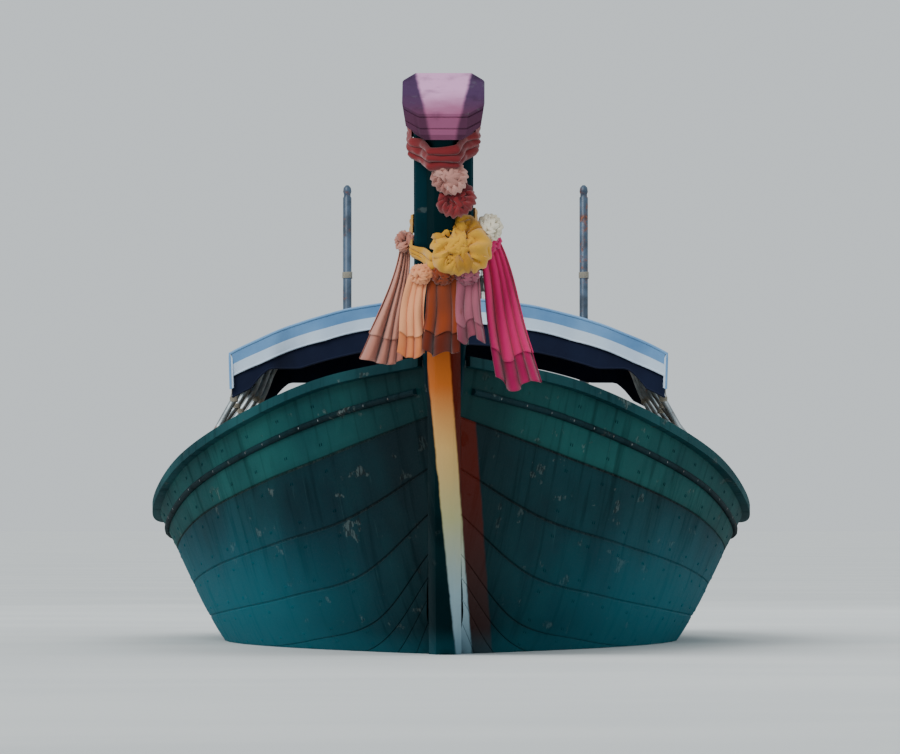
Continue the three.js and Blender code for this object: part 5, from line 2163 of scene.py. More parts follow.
def strip(half: Callable[[float], float], xs: Pair, ys: Pair, steps: int = 30) -> list[Pair]:
    """Works out the outline of a fore-and-aft board within the hull.

    Args:
        half: the half-breadth of the space as a function of y.
        xs: the board's inner and outer edge, on the port side or across the centreline.
        ys: its ends.
        steps: how many steps its outer edge has.
    Returns:
        Points of x and y, none where no room is left.
    """
    inner, outer = xs
    inside = [y for y in spread(ys[0], ys[1], 4 * steps) if half(y) > max(inner, 0) + 0.02]
    if not inside:
        return []
    line = spread(inside[0], inside[-1], steps)
    side = [(min(outer, half(y)), y) for y in reversed(line)]
    return [(inner, line[0]), (inner, line[-1])] + side


def across(half: Callable[[float], float], low: float, high: float) -> list[Pair]:
    """Returns the outline of a board from side to side between two values of y."""
    return [(half(low), low), (half(high), high), (-half(high), high), (-half(low), low)]


@dataclass
class Decks:
    """Floorboards, foredeck, stern deck, thwarts and the bitt at the bow."""

    lines: HullLines
    rib_depth: float = 0.0834
    skin_depth: float = 0.0284
    floor: float = -0.128
    shelf: float = 0.330
    floor_ends: Pair = (-2.68, 3.15)
    foredeck_ends: Pair = (-4.52, -3.48)
    stern_ends: Pair = (2.75, 4.43)
    first_thwart: float = -2.55
    # half-length along the boat, and thickness
    thwart: Pair = (0.12, 0.034)
    bitt_y: float = -3.982

    def _lengthways(
        self, form: Form, z: Pair, ys: Pair, depth: float, width: float, gap: float, seed: int
    ) -> None:
        """Adds boards that run fore and aft, one on the centreline and the others in pairs.

        Args:
            form: takes the boards.
            z: their bottom and top.
            ys: their ends.
            depth: how far inside the hull's outside they end.
            width: the width of a board.
            gap: the gap between boards.
            seed: seeds their tones.
        """
        dice = random.Random(seed)
        half = self.lines.waterline(z[0], depth)
        king, widest, shortest = width * 0.62, 1.1, 0.12
        form.shade = dice.random()
        edge = [(min(king, half(y)), y) for y in spread(*ys, 12)]
        form.board(edge + [(-x, y) for x, y in reversed(edge)], *z)
        x = king + gap
        while x < widest:
            outline = strip(half, (x, x + width), ys)
            if outline and outline[1][1] - outline[0][1] > shortest:
                for side in (1, -1):
                    form.shade = dice.random()
                    form.board([(side * px, y) for px, y in outline], *z)
            x += width + gap

    @staticmethod
    def _screws(
        form: Form,
        xs: Sequence[float],
        ys: Sequence[float],
        z: float,
        half: Callable[[float], float],
    ) -> None:
        """Adds countersunk screw heads where the hull has room for them.

        Args:
            form: takes the screws.
            xs: their places athwart.
            ys: their places along the boat.
            z: the height of the wood's top.
            half: the half-breadth of the space as a function of y.
        """
        for y in ys:
            for x in xs:
                if abs(x) < half(y) - 0.02:
                    head = [(-0.001, 0.0055), (0.0006, 0.0052), (0.0008, 0.002)]
                    form.turned((x, y, z), UP, head, 8)

    def build(self) -> None:
        """Builds the boards, the thwarts and the bitt."""
        self._floor()
        self._foredeck()
        dice = random.Random(9)
        self._stern_deck(dice)
        self._thwarts(dice)
        self._bitt()

    @staticmethod
    def _planks(form: Form, name: str, coat: str, node: str, bevel: float) -> None:
        """Makes a piece of boards with screws; see Form.piece."""
        form.piece(name, "hull", [coat, "bolt"], "deck_wood", [node], bevel=bevel)

    def _floor(self) -> None:
        """Builds the floorboards with their screws on the floor timbers."""
        floor, low = Form(), self.floor - 0.022
        ends, depth = self.floor_ends, self.rib_depth
        self._lengthways(floor, (low, self.floor), ends, depth, 0.118, 0.007, 2)
        floor.coat = 1
        half = self.lines.waterline(low, depth)
        marks = [0.080 + 0.125 * k + d for k in range(6) for d in (0.025, 0.095)]
        xs = [-0.04, 0.04, *sorted(s * mark for mark in marks for s in (1, -1))]
        self._screws(floor, xs, [y for y in RIBS if -2.6 < y < 3.1], self.floor, half)
        self._planks(floor, "floor_planks", "deck", "floorboards", 0.0022)

    def _foredeck(self) -> None:
        """Builds the foredeck's boards over the beam at its aft end."""
        fore, top, ends = Form(), 0.824, self.foredeck_ends
        self._lengthways(fore, (0.800, top), ends, self.skin_depth, 0.072, 0.003, 5)
        fore.shade = 0.2
        half = self.lines.waterline(0.78, self.skin_depth)
        fore.board(across(half, -3.55, ends[1]), 0.730, 0.7992)
        half = self.lines.waterline(0.80, self.skin_depth)
        fore.coat = 1
        marks = (0.02, 0.06, 0.1, 0.135, 0.175, 0.21, 0.25, 0.285, 0.325, 0.36)
        self._screws(fore, [s * x for x in marks for s in (1, -1)], [-4.25, -3.9, -3.52], top, half)
        self._planks(fore, "foredeck_planks", "deck", "foredeck", 0.002)

    def _stern_deck(self, dice: random.Random) -> None:
        """Builds the stern deck from boards that run athwart.

        Args:
            dice: the source of the boards' tones.
        """
        stern, top = Form(), self.shelf + 0.025
        half = self.lines.waterline(self.shelf, self.rib_depth)
        ys = spread(*self.stern_ends, 14)
        for low, high in zip(ys, ys[1:]):
            stern.shade = dice.random()
            high -= 0.005
            stern.board(across(half, low, high), self.shelf, top)
            stern.coat = 1
            self._screws(stern, [-0.45, 0.0, 0.45], [low + 0.03, high - 0.03], top, half)
            stern.coat = 0
        self._planks(stern, "stern_planks", "seat", "stern_deck", 0.002)

    def _thwarts(self, dice: random.Random) -> None:
        """Builds the five thwarts, each of two boards on two posts.

        Args:
            dice: the source of the boards' tones.
        """
        half = self.lines.waterline(self.shelf, self.skin_depth)
        reach, thick = self.thwart
        for k in range(5):
            y = self.first_thwart + k
            seat = Form()
            for low, high in ((y - reach, y - 0.003), (y + 0.003, y + reach)):
                seat.coat, seat.shade = 0, dice.random()
                seat.board(across(half, low, high), self.shelf, self.shelf + thick)
                seat.coat = 1
                edge = half(y) - 0.07
                xs = [-edge, -edge + 0.03, edge - 0.03, edge]
                self._screws(seat, xs, [(low + high) / 2], self.shelf + thick, half)
            seat.coat, seat.shade = 0, 0.15
            for low, high in ((y - 0.10, y - 0.07), (y + 0.07, y + 0.10)):
                seat.block((-0.022, low, self.floor + 0.001), (0.022, high, self.shelf - FIT))
            self._planks(seat, f"seat_{k + 1}", "seat", f"thwart_{k + 1}", 0.004)

    def _bitt(self) -> None:
        """Builds the bitt at the bow with its groove and the pin through it."""
        bitt, y, pin = Form(shade=0.3), self.bitt_y, 0.915
        # height, and how far the side stands back there
        profile = (
            (0.0, 0.0), (0.118, 0.0), (0.122, 0.007), (0.132, 0.007),
            (0.136, 0.0), (0.158, 0.0), (0.1656, 0.018),
        )
        corners = ((1, 1), (-1, 1), (-1, -1), (1, -1))
        bitt.loft([
            [(sx * (0.038 - c), y + sy * (0.038 - c), 0.8244 + h) for sx, sy in corners]
            for h, c in profile
        ])
        bitt.coat = 1
        bitt.rod((-0.105, y, pin), (0.105, y, pin), 0.0095, 20)
        knob = [(-0.004, 0.0095), (0.0, 0.013), (0.006, 0.013), (0.010, 0.008)]
        bitt.turned((0.105, y, pin), (1, 0, 0), knob, 20)
        bitt.bolt((0, y - 0.038, 0.85), (0, -1, 0), 0.008)
        bitt.turned((-0.105, y, pin), (-1, 0, 0), knob, 20)
        bitt.piece("bitt", "hull", ["post_wood", "bolt"], "bare_wood", ["bow_bitt"], bevel=0.004)


@dataclass
class SternGear:
    """The motor's beam and pedestal, and the fuel tank."""

    lines: HullLines
    pivot_y: float = 4.28
    deck: float = 0.3554
    beam_top: float = 0.545
    top: float = 0.820
    tank_xs: Pair = (-0.560, -0.260)
    tank_ys: Pair = (3.080, 3.300)
    tank_tall: float = 0.2696
    tank_corner: float = 0.028

    def build(self) -> None:
        """Builds beam, pedestal and tank."""
        y, skin, chamfer = self.pivot_y, 0.0284, 0.02
        beam = Form()
        half = self.lines.waterline(0.45, skin)
        low_half = self.lines.waterline(0.36, skin)
        for tone, (a, b) in zip((0.3, 0.7), ((y - 0.09, y - 0.001), (y + 0.001, y + 0.09))):
            beam.shade = tone
            wide = min(half(a), half(b))
            low = min(low_half(a), low_half(b))
            port = [
                (wide - chamfer, self.beam_top), (wide, self.beam_top - chamfer), (low, self.deck)
            ]
            outline = [(-x, z) for x, z in reversed(port)] + port
            beam.loft([[(x, at, z) for x, z in outline] for at in (a, b)])
        beam.coat = 1
        for x in (-0.5, -0.3, 0.3, 0.5):
            for side in (-1, 1):
                beam.bolt((x, y + side * 0.09, 0.45), (0, side, 0), 0.011)
        coats = ["seat", "bolt"]
        beam.piece("motor_beam", "hull", coats, "bare_wood", ["engine_beam"], bevel=0.005)
        self._pedestal()
        self._tank()

    def _pedestal(self) -> None:
        """Builds the plate, the column with its gussets and the bearing."""
        y, base = self.pivot_y, self.beam_top + FIT
        plate = base + 0.0136
        tall = self.top - plate
        form = Form()
        form.block((-0.150, y - 0.085, base), (0.150, y + 0.085, plate))
        form.turned((0, y, plate), UP, [
            (-0.001, 0.052), (0.004, 0.050), (0.008, 0.046), (tall - 0.030, 0.046),
            (tall - 0.022, 0.050), (tall - 0.016, 0.060), (tall - 0.0155, 0.0775),
            (tall - 0.002, 0.0780), (tall, 0.0765),
        ], 48)
        foot = Vector((0, y, plate - 0.001))
        corners = [(0.040, 0.0), (0.098, 0.0), (0.098, 0.014), (0.052, 0.135), (0.040, 0.135)]
        gussets(form, foot, circle(1.0, 4, 0.5), corners, UP)
        form.coat = 1
        for sx in (-0.132, 0.132):
            for sy in (-0.065, 0.065):
                form.bolt((sx, y + sy, plate), UP, 0.012)
        for x, back in circle(0.064, 6):
            form.bolt((x, y + back, self.top - 0.0155), (0, 0, -1), 0.006)
        form.turned((0.046, y, 0.77), (1, 0, 0), [
            (-0.002, 0.005), (0.006, 0.005), (0.007, 0.0035), (0.012, 0.0035), (0.014, 0.002),
        ], 10)
        coats = ["blue_steel", "bolt"]
        form.piece("pedestal", "hull", coats, "painted_steel", ["engine_pedestal"], bevel=0.002)

    def _tank(self) -> None:
        """Builds the fuel tank with pressed ribs, a grip and a cap."""
        xs, ys, corner, tall = self.tank_xs, self.tank_ys, self.tank_corner, self.tank_tall
        z0, z1 = self.deck, self.deck + tall
        # height over the tank's foot, and how far its side stands back there
        profile = [(0.0, 0.010), (0.008, 0.002), (0.02, 0.0)]
        rib = ((0, 0.0), (0.006, 0.005), (0.018, 0.005), (0.024, 0.0))
        for k in range(5):
            profile += [(0.045 + 0.038 * k + h, inset) for h, inset in rib]
        profile += [(0.245, 0.0), (0.258, 0.003), (0.266, 0.010), (tall, 0.020)]
        form, rows = Form(), []
        for h, inset in profile:
            rim = circle(corner - inset * 0.5, 24)
            ring = []
            for quarter, (i, j) in enumerate(((1, 1), (0, 1), (0, 0), (1, 0))):
                x = xs[i] - math.copysign(corner + inset * 0.5, xs[i] - sum(xs) / 2)
                y = ys[j] - math.copysign(corner + inset * 0.5, ys[j] - sum(ys) / 2)
                for c, s in (rim + rim[:1])[6 * quarter : 6 * quarter + 7]:
                    ring.append((x + c, y + s, z0 + h))
            rows.append(ring)
        form.loft(rows)
        grip = [(-0.42, -0.01), (-0.415, 0.022), (-0.38, 0.03)]
        grip += [(-0.32, 0.03), (-0.285, 0.022), (-0.28, -0.01)]
        form.tube(smooth([(x, 3.19, z1 + h) for x, h in grip], 24), 0.011, 14)
        form.coat = 1
        form.turned((-0.480, 3.190, z1 - 0.002), UP, [
            (0, 0.040), (0.010, 0.040), (0.0101, 0.034), (0.030, 0.034), (0.033, 0.031),
            (0.034, 0.012),
        ], 40)
        for x, y in circle(0.034, 20):
            spot = Vector((-0.480 + x, 3.190 + y, z1 + 0.012))
            form.rod(spot, spot + Vector((0, 0, 0.014)), 0.0022, 6)
        form.piece("tank", "hull", ["tank", "dark"], "tank_plastic", ["fuel_tank"], angle=40)


def gussets(
    form: Form, foot: Vector, ways: Sequence[Pair], corners: Sequence[Pair], axis: Point
) -> None:
    """Adds flat ribs that stand round an axis.

    Args:
        form: takes the ribs.
        foot: the axis's start.
        ways: the ribs' directions, as pairs in the plane across the axis.
        corners: distance from the axis and along it of a rib's corners.
        axis: the axis's direction, up or aft.
    """
    thick = 0.004
    along = Vector(axis)
    for a, b in ways:
        way, side = ((a, b, 0), (-b, a, 0)) if along.z else ((a, 0, b), (-b, 0, a))
        way, side = Vector(way), Vector(side) * thick
        form.loft([
            [foot + way * out + along * h + side * s for out, h in corners] for s in (-1, 1)
        ])


# The motor

# The tilt axis in the boat's frame, how the motor leans at rest, and the axis in its own frame
PIVOT_Y, PIVOT_Z, LEAN, PIN_Y = 4.28, 1.05, -15.5, 0.24
MOTOR = (
    Matrix.Translation((0, PIVOT_Y, PIVOT_Z))
    @ Matrix.Rotation(math.radians(LEAN), 4, "X")
    @ Matrix.Translation((0, -PIN_Y, 0))
)
# Heights of the shaft and of the crankshaft above the tilt axis
SHAFT_Z, CRANK_Z = 0.110, 0.118
CYLINDERS = tuple(-0.245 + 0.11 * k for k in range(4))
NIPPLE = [(0, 0.006), (0.005, 0.006), (0.0055, 0.0035), (0.010, 0.003)]


@dataclass
class Swivel:
    """The yoke that turns on the pedestal and carries the motor's pins."""

    y: float = PIVOT_Y
    base: float = 0.8206
    pin_z: float = PIVOT_Z
    inner: float = 0.174
    outer: float = 0.206
    half: float = 0.042
    bore: float = 0.0195

    def build(self) -> None:
        """Builds the yoke."""
        form, y, base = Form(), self.y, self.base
        disc = [(0, 0.083), (0.002, 0.084), (0.016, 0.084), (0.018, 0.082)]
        form.turned((0, y, base), UP, disc, 48)
        low, high = base + 0.010, base + 0.042
        form.block((-self.outer, y - self.half, low), (self.outer, y + self.half, high))
        for side in (1, -1):
            xs = sorted((side * self.inner, side * self.outer))
            rows = (
                (base + 0.012, self.half), (base + 0.10, self.half * 0.82),
                (self.pin_z - 0.024, self.half * 0.86),
            )
            form.loft([
                [(xs[0], y - h, z), (xs[1], y - h, z), (xs[1], y + h, z), (xs[0], y + h, z)]
                for z, h in rows
            ])
            wide = self.outer - self.inner
            form.sleeve((xs[0], y, self.pin_z), (1, 0, 0), wide, self.half, self.bore)
            gusset = [
                (self.inner + 0.002, base + 0.041), (self.inner - 0.055, base + 0.041),
                (self.inner + 0.002, base + 0.096),
            ]
            form.loft([[(side * x, y + s, z) for x, z in gusset] for s in (-0.006, 0.006)])
        form.coat = 1
        for side in (1, -1):
            form.turned((side * 0.19, y, self.pin_z + self.half - 0.001), UP, NIPPLE, 10)
            for shift in (-0.024, 0.024):
                form.bolt((side * 0.10, y + shift, high), UP, 0.009)
        coats = ["blue_steel", "bolt"]
        form.piece("yoke", "swivel", coats, "painted_steel", ["swivel_yoke"], bevel=0.0025)


@dataclass
class Motor:
    """The diesel on its cradle, in its own frame: +Y runs aft along the shaft."""

    # inner and outer face, fore and aft end
    rails: tuple[float, float, float, float] = (0.130, 0.160, -0.38, 0.30)
    low: float = -0.030
    high: float = 0.018
    pin_y: float = PIN_Y
    # x and z of its axis
    alternator: Pair = (0.168, 0.222)
    # x and z of its middle line
    manifold: Pair = (-0.132, 0.322)
    # outer and inner radius
    pipe: Pair = (0.0225, 0.0195)
    # the shaft tube's ends and radius
    tail: tuple[float, float, float] = (0.4444, 3.56, 0.028)

    def _piece(
        self,
        form: Form,
        name: str,
        coats: list[str],
        slot: str,
        node: str,
        bevel: float = 0.002,
        angle: float = 38,
    ) -> None:
        """Makes a piece of a form that was drawn in the motor's frame; see Form.piece."""
        form.moved(MOTOR).piece(name, "motor", coats, slot, [node], bevel=bevel, angle=angle)

    def build(self) -> None:
        """Builds all the motor's pieces."""
        self._cradle()
        self._block()
        self._head()
        self._gearbox()
        self._belts()
        self._alternator()
        self._air_cleaner()
        self._exhaust()
        self._tiller()
        self._tail()

    def _cradle(self) -> None:
        """Builds channel rails, crossbars and pins."""
        inner, outer, fore, aft = self.rails
        low, high, pin, wall = self.low, self.high, self.pin_y, 0.006
        form = Form()
        for side in (1, -1):
            outline = [
                (inner, low), (outer, low), (outer, high), (inner, high), (inner, high - wall),
                (outer - wall, high - wall), (outer - wall, low + wall), (inner, low + wall),
            ]
            form.loft([[(side * x, y, z) for x, z in outline] for y in (fore, aft)])
        foot, head = low + 0.001, high - 0.001
        for start in (fore, -0.19, 0.09):
            outline = [
                (start, foot), (start + 0.05, foot), (start + 0.05, low + 0.008),
                (start + wall, low + 0.008), (start + wall, head), (start, head),
            ]
            form.loft([[(x, y, z) for y, z in outline] for x in (-outer + 0.001, outer - 0.001)])
        for side in (1, -1):
            form.beside(side, (inner - 0.004, pin - 0.04, low), (inner + 0.010, pin + 0.04, high))
        form.coat = 1
        axle = [(0, 0.0189), (0.062, 0.0189), (0.066, 0.016)]
        collar = [(0, 0.034), (0.0125, 0.034), (0.0130, 0.030)]
        for side in (1, -1):
            form.turned((side * 0.150, pin, 0), (side, 0, 0), axle, 32)
            form.turned((side * 0.1600, pin, 0), (side, 0, 0), collar, 32)
            for y in (-0.30, -0.05, 0.13):
                form.bolt((side * 0.145, y, high), UP, 0.010)
        self._piece(form, "cradle", ["blue_steel", "bolt"], "painted_steel", "engine_cradle")

    def _block(self) -> None:
        """Builds crankcase and cylinder block with covers, ribs, starter, filter and plugs."""
        form = Form()
        seat = self.high + FIT
        form.block((-0.104, -0.316, seat), (0.104, 0.136, 0.052))
        form.block((-0.112, -0.320, 0.050), (0.112, 0.140, 0.146))
        form.block((-0.112, -0.320, 0.1455), (0.112, 0.140, 0.172), 0.022)
        form.block((-0.086, -0.318, 0.160), (0.086, 0.138, 0.296))
        form.block((-0.0885, -0.320, 0.286), (0.0885, 0.140, 0.300))
        plug = [(-0.002, 0.022), (0.003, 0.022), (0.0035, 0.018), (0.001, 0.016)]
        for side in (1, -1):
            for y in (-0.30, -0.19, -0.08, 0.03, 0.115):
                form.beside(side, (0.080, y - 0.006, 0.165), (0.0905, y + 0.006, 0.290))
            for y in CYLINDERS:
                form.turned((side * 0.086, y, 0.235), (side, 0, 0), plug, 24)
        lugs = [(side, y) for y in (-0.28, 0.10) for side in (1, -1)]
        for side, y in lugs:
            form.beside(side, (0.100, y - 0.028, seat), (0.158, y + 0.028, seat + 0.010))
        form.block((-0.119, -0.250, 0.062), (-0.110, -0.040, 0.138))
        form.block((0.110, -0.120, 0.062), (0.118, 0.100, 0.138))
        form.coat = 1
        for x, way, ys in ((-0.119, -1, (-0.24, -0.145, -0.05)), (0.118, 1, (-0.11, -0.01, 0.09))):
            for y in ys:
                for z in (0.070, 0.130):
                    form.bolt((x, y, z), (way, 0, 0), 0.005, False)
        for side, y in lugs:
            form.bolt((side * 0.143, y, seat + 0.010), UP, 0.009)
        form.coat = 2
        form.turned((0.120, 0.0, 0.205), (0, -1, 0), [
            (0, 0.012), (0.0, 0.037), (0.008, 0.040), (0.088, 0.040), (0.096, 0.034),
            (0.098, 0.010),
        ], 36)
        form.coat = 3
        form.turned((-0.128, -0.02, 0.205), AFT, [
            (0, 0.020), (0.004, 0.030), (0.018, 0.031), (0.020, 0.036), (0.112, 0.036),
            (0.116, 0.028), (0.158, 0.026),
        ], 32)
        solenoid = [(0, 0.012), (0.003, 0.016), (0.080, 0.016), (0.084, 0.010)]
        form.turned((-0.122, 0.01, 0.248), AFT, solenoid, 20)
        form.block((0.088, -0.270, 0.200), (0.138, -0.160, 0.252))
        union = [(0, 0.0095), (0.018, 0.0095), (0.019, 0.006), (0.028, 0.006)]
        pumps = [-0.258 + 0.028 * k for k in range(len(CYLINDERS))]
        for y in pumps:
            form.turned((0.112, y, 0.252), UP, union, 12)
        form.coat = 4
        for k, (start, end) in enumerate(zip(pumps, CYLINDERS)):
            path = [
                (0.112, start, 0.276), (0.114, start, 0.32),
                (0.116 + 0.004 * k, (start + end) / 2, 0.352 + 0.004 * k),
                (0.104, end, 0.374), (0.076, end, 0.378),
            ]
            form.tube(smooth(path, 20), 0.0032, 8)
        coats = ["iron", "bolt", "tank", "dark", "aluminium"]
        self._piece(form, "engine_casting", coats, "cast_iron", "engine_block")

    def _head(self) -> None:
        """Builds the cylinder head with its bolts, injectors, rocker cover and oil cap."""
        form = Form()
        form.block((-0.096, -0.316, 0.3004), (0.096, 0.136, 0.344))
        rows = []
        for y, grow in (
            (-0.300, -0.012), (-0.292, -0.002), (-0.280, 0.0),
            (0.100, 0.0), (0.112, -0.002), (0.120, -0.012),
        ):
            half, tall = 0.062 + grow, 0.056 + grow
            arch = spread(0.12, math.pi - 0.12, 14)
            crown = [(half * math.cos(a), y, 0.372 + tall * math.sin(a)) for a in arch]
            rows.append([(half, y, 0.343), *crown, (-half, y, 0.343)])
        form.loft(rows)
        form.block((-0.070, -0.306, 0.3435), (0.070, 0.126, 0.350))
        form.coat = 1
        for y in spread(-0.300, 0.120, 5):
            for x in (-0.084, 0.084):
                form.bolt((x, y, 0.344), UP, 0.0085)
        nut = [(0, 0.011), (0.003, 0.011), (0.0031, 0.007), (0.010, 0.007), (0.011, 0.004)]
        for y in (-0.22, -0.09, 0.04):
            form.turned((0, y, 0.426), UP, nut, 12)
        form.coat = 2
        form.turned((0, -0.255, 0.424), UP, [
            (0, 0.028), (0.004, 0.028), (0.0042, 0.024), (0.020, 0.024), (0.023, 0.019),
            (0.0232, 0.006),
        ], 24)
        injector = [
            (0, 0.013), (0.018, 0.013), (0.0185, 0.009), (0.040, 0.009), (0.041, 0.005),
            (0.048, 0.005),
        ]
        for y in CYLINDERS:
            form.turned((0.078, y, 0.343), UP, injector, 14)
        coats = ["aluminium", "bolt", "dark"]
        self._piece(form, "head_casting", coats, "cast_aluminium", "cylinder_head")

    def _gearbox(self) -> None:
        """Builds bell housing, gearbox and output flange."""
        form = Form()
        form.turned((0, 0.1404, CRANK_Z), AFT, [
            (0, 0.117), (0.002, 0.118), (0.012, 0.118), (0.0125, 0.110), (0.070, 0.104),
            (0.108, 0.096), (0.1095, 0.099), (0.120, 0.098), (0.1216, 0.094),
        ], 48)
        form.turned((0, 0.2550, SHAFT_Z), AFT, [
            (0, 0.078), (0.010, 0.078), (0.012, 0.074), (0.080, 0.071), (0.130, 0.064),
            (0.132, 0.068), (0.145, 0.068), (0.1465, 0.056), (0.165, 0.046),
        ], 40)
        corners = [(0.100, 0.152), (0.116, 0.152), (0.0995, 0.250), (0.085, 0.250)]
        gussets(form, Vector((0, 0, CRANK_Z)), circle(1.0, 10, 0.5), corners, AFT)
        form.block((-0.034, 0.30, SHAFT_Z + 0.060), (0.034, 0.37, SHAFT_Z + 0.082))
        form.coat = 1
        form.turned((0, 0.4195, SHAFT_Z), AFT, [
            (0, 0.040), (0.002, 0.058), (0.011, 0.058), (0.0115, 0.0565), (0.0125, 0.0565),
            (0.013, 0.058), (0.0245, 0.058),
        ], 40)
        for x, z in circle(0.110, 8):
            form.bolt((x, 0.1525, CRANK_Z + z), AFT, 0.0065, False)
        for x, z in circle(0.046, 6):
            form.bolt((x, 0.4440, SHAFT_Z + z), AFT, 0.0065, False)
        form.rod((0.028, 0.335, SHAFT_Z + 0.080), (0.028, 0.335, SHAFT_Z + 0.100), 0.007, 14)
        form.block((0.020, 0.325, SHAFT_Z + 0.098), (0.080, 0.345, SHAFT_Z + 0.103))
        self._piece(form, "gear_casting", ["aluminium", "bolt"], "cast_aluminium", "gearbox")

    def _belts(self) -> None:
        """Builds pulleys with grooves and the two belts round them."""
        # x, z and radius
        pulleys = ((0.0, SHAFT_Z, 0.074), (0.030, 0.270, 0.052), (*self.alternator, 0.038))
        form = Form()
        for x, z, r in pulleys:
            deep = r - 0.010
            form.coat = 1
            form.turned((x, -0.356, z), AFT, [
                (0, r * 0.30), (0.0005, r * 0.86), (0.002, r), (0.005, r), (0.0095, deep),
                (0.0115, deep), (0.0165, r), (0.0185, r), (0.0235, deep), (0.0255, deep),
                (0.0305, r), (0.0335, r), (0.0352, r * 0.86),
            ], 48)
            form.coat = 2
            form.bolt((x, -0.357, z), (0, -1, 0), 0.011)
        form.coat = 0
        path = self._round(pulleys)
        section = [(-0.0045, 0.004), (0.0045, 0.004), (0.003, -0.004), (-0.003, -0.004)]
        for middle in (-0.3455, -0.3315):
            form.grid([
                [(x + a * depth, middle + side, z + b * depth) for side, depth in section]
                for x, z, a, b in path
            ], wrap=True)
        coats = ["rubber", "iron", "bolt"]
        self._piece(form, "belts", coats, "black_rubber", "belt_drive", bevel=0, angle=30)

    @staticmethod
    def _round(
        pulleys: Sequence[tuple[float, float, float]]
    ) -> list[tuple[float, float, float, float]]:
        """Works out the tight path of a belt round pulleys.

        Args:
            pulleys: x, z and radius of each.
        Returns:
            x and z of each point, and the way out of the path there; the first point comes again.
        """
        sunk = 0.0035
        spots = sorted((x + a, z + b) for x, z, r in pulleys for a, b in circle(r - sunk, 60))

        def chain(points: Sequence[Pair]) -> list[Pair]:
            """Finds one side of the smallest convex outline.

            Args:
                points: x and z of all points, in order along the side.
            Returns:
                The side's corners without the last one.
            """
            kept: list[Pair] = []
            for x, z in points:
                while len(kept) > 1:
                    (x0, z0), (x1, z1) = kept[-2:]
                    if (x1 - x0) * (z - z0) - (z1 - z0) * (x - x0) > 0:
                        break
                    kept.pop()
                kept.append((x, z))
            return kept[:-1]

        path = chain(spots) + chain(spots[::-1])
        rows = []
        for before, here, after in zip(path[-1:] + path, path + path[:1], path[1:] + path[:2]):
            way = (Vector(after) - Vector(before)).normalized()
            rows.append((*here, way.y, -way.x))
        return rows

    def _alternator(self) -> None:
        """Builds the alternator with its slotted ends and bracket."""
        form = Form()
        x, z = self.alternator
        form.turned((x, -0.3185, z), AFT, [
            (0, 0.020), (0.004, 0.040), (0.010, 0.049), (0.030, 0.050), (0.032, 0.046),
            (0.085, 0.046), (0.087, 0.050), (0.112, 0.049), (0.130, 0.040), (0.1375, 0.020),
        ], 40)
        for a, b in circle(0.046, 14):
            start = Vector((x + a, -0.285, z + b))
            form.rod(start, start + Vector((0, 0.052, 0)), 0.0022, 6)
        form.block((0.1124, -0.300, 0.060), (0.122, -0.240, 0.200))
        for y in (-0.300, -0.252):
            form.block((0.120, y, 0.150), (0.168, y + 0.012, 0.200))
        form.coat = 1
        form.bolt((0.148, -0.300, 0.176), (0, -1, 0), 0.007)
        for height in (0.08, 0.125):
            form.bolt((0.122, -0.27, height), (1, 0, 0), 0.007)
        form.coat = 2
        for a, b in circle(0.034, 12):
            spot = Vector((x + a, -0.1845, z + b))
            form.rod(spot, spot + Vector((0, 0.0025, 0)), 0.0045, 8)
        coats = ["aluminium", "bolt", "dark"]
        self._piece(form, "generator", coats, "cast_aluminium", "alternator", bevel=0.0012)

    def _air_cleaner(self) -> None:
        """Builds the round air cleaner with its clamp and wing nut."""
        form = Form()
        x, y, base = 0.010, -0.090, 0.4284
        form.turned((x, y, base), UP, [
            (0, 0.034), (0.014, 0.034), (0.018, 0.060), (0.019, 0.096), (0.024, 0.103),
            (0.040, 0.104), (0.0405, 0.100), (0.046, 0.100), (0.0465, 0.104), (0.076, 0.104),
            (0.084, 0.099), (0.088, 0.088), (0.0895, 0.030), (0.0886, 0.028),
        ], 56)
        for a, b in circle(0.1042, 16):
            spot = Vector((x + a, y + b, base + 0.0545))
            form.rod(spot, spot + Vector((0, 0, 0.014)), 0.0032, 6)
        form.coat = 1
        nut = [(0, 0.012), (0.0018, 0.012), (0.002, 0.004), (0.0022, 0.004)]
        form.turned((x, y, base + 0.0885), UP, nut, 20)
        form.block((x - 0.020, y - 0.0015, base + 0.0888), (x + 0.020, y + 0.0015, base + 0.0908))
        form.coil((x, y, base + 0.007), 0.0355, 0.0028, 32, 0.0, 8)
        coats = ["blue_steel", "bolt"]
        self._piece(form, "air_filter", coats, "filter_shell", "air_cleaner", bevel=0, angle=30)

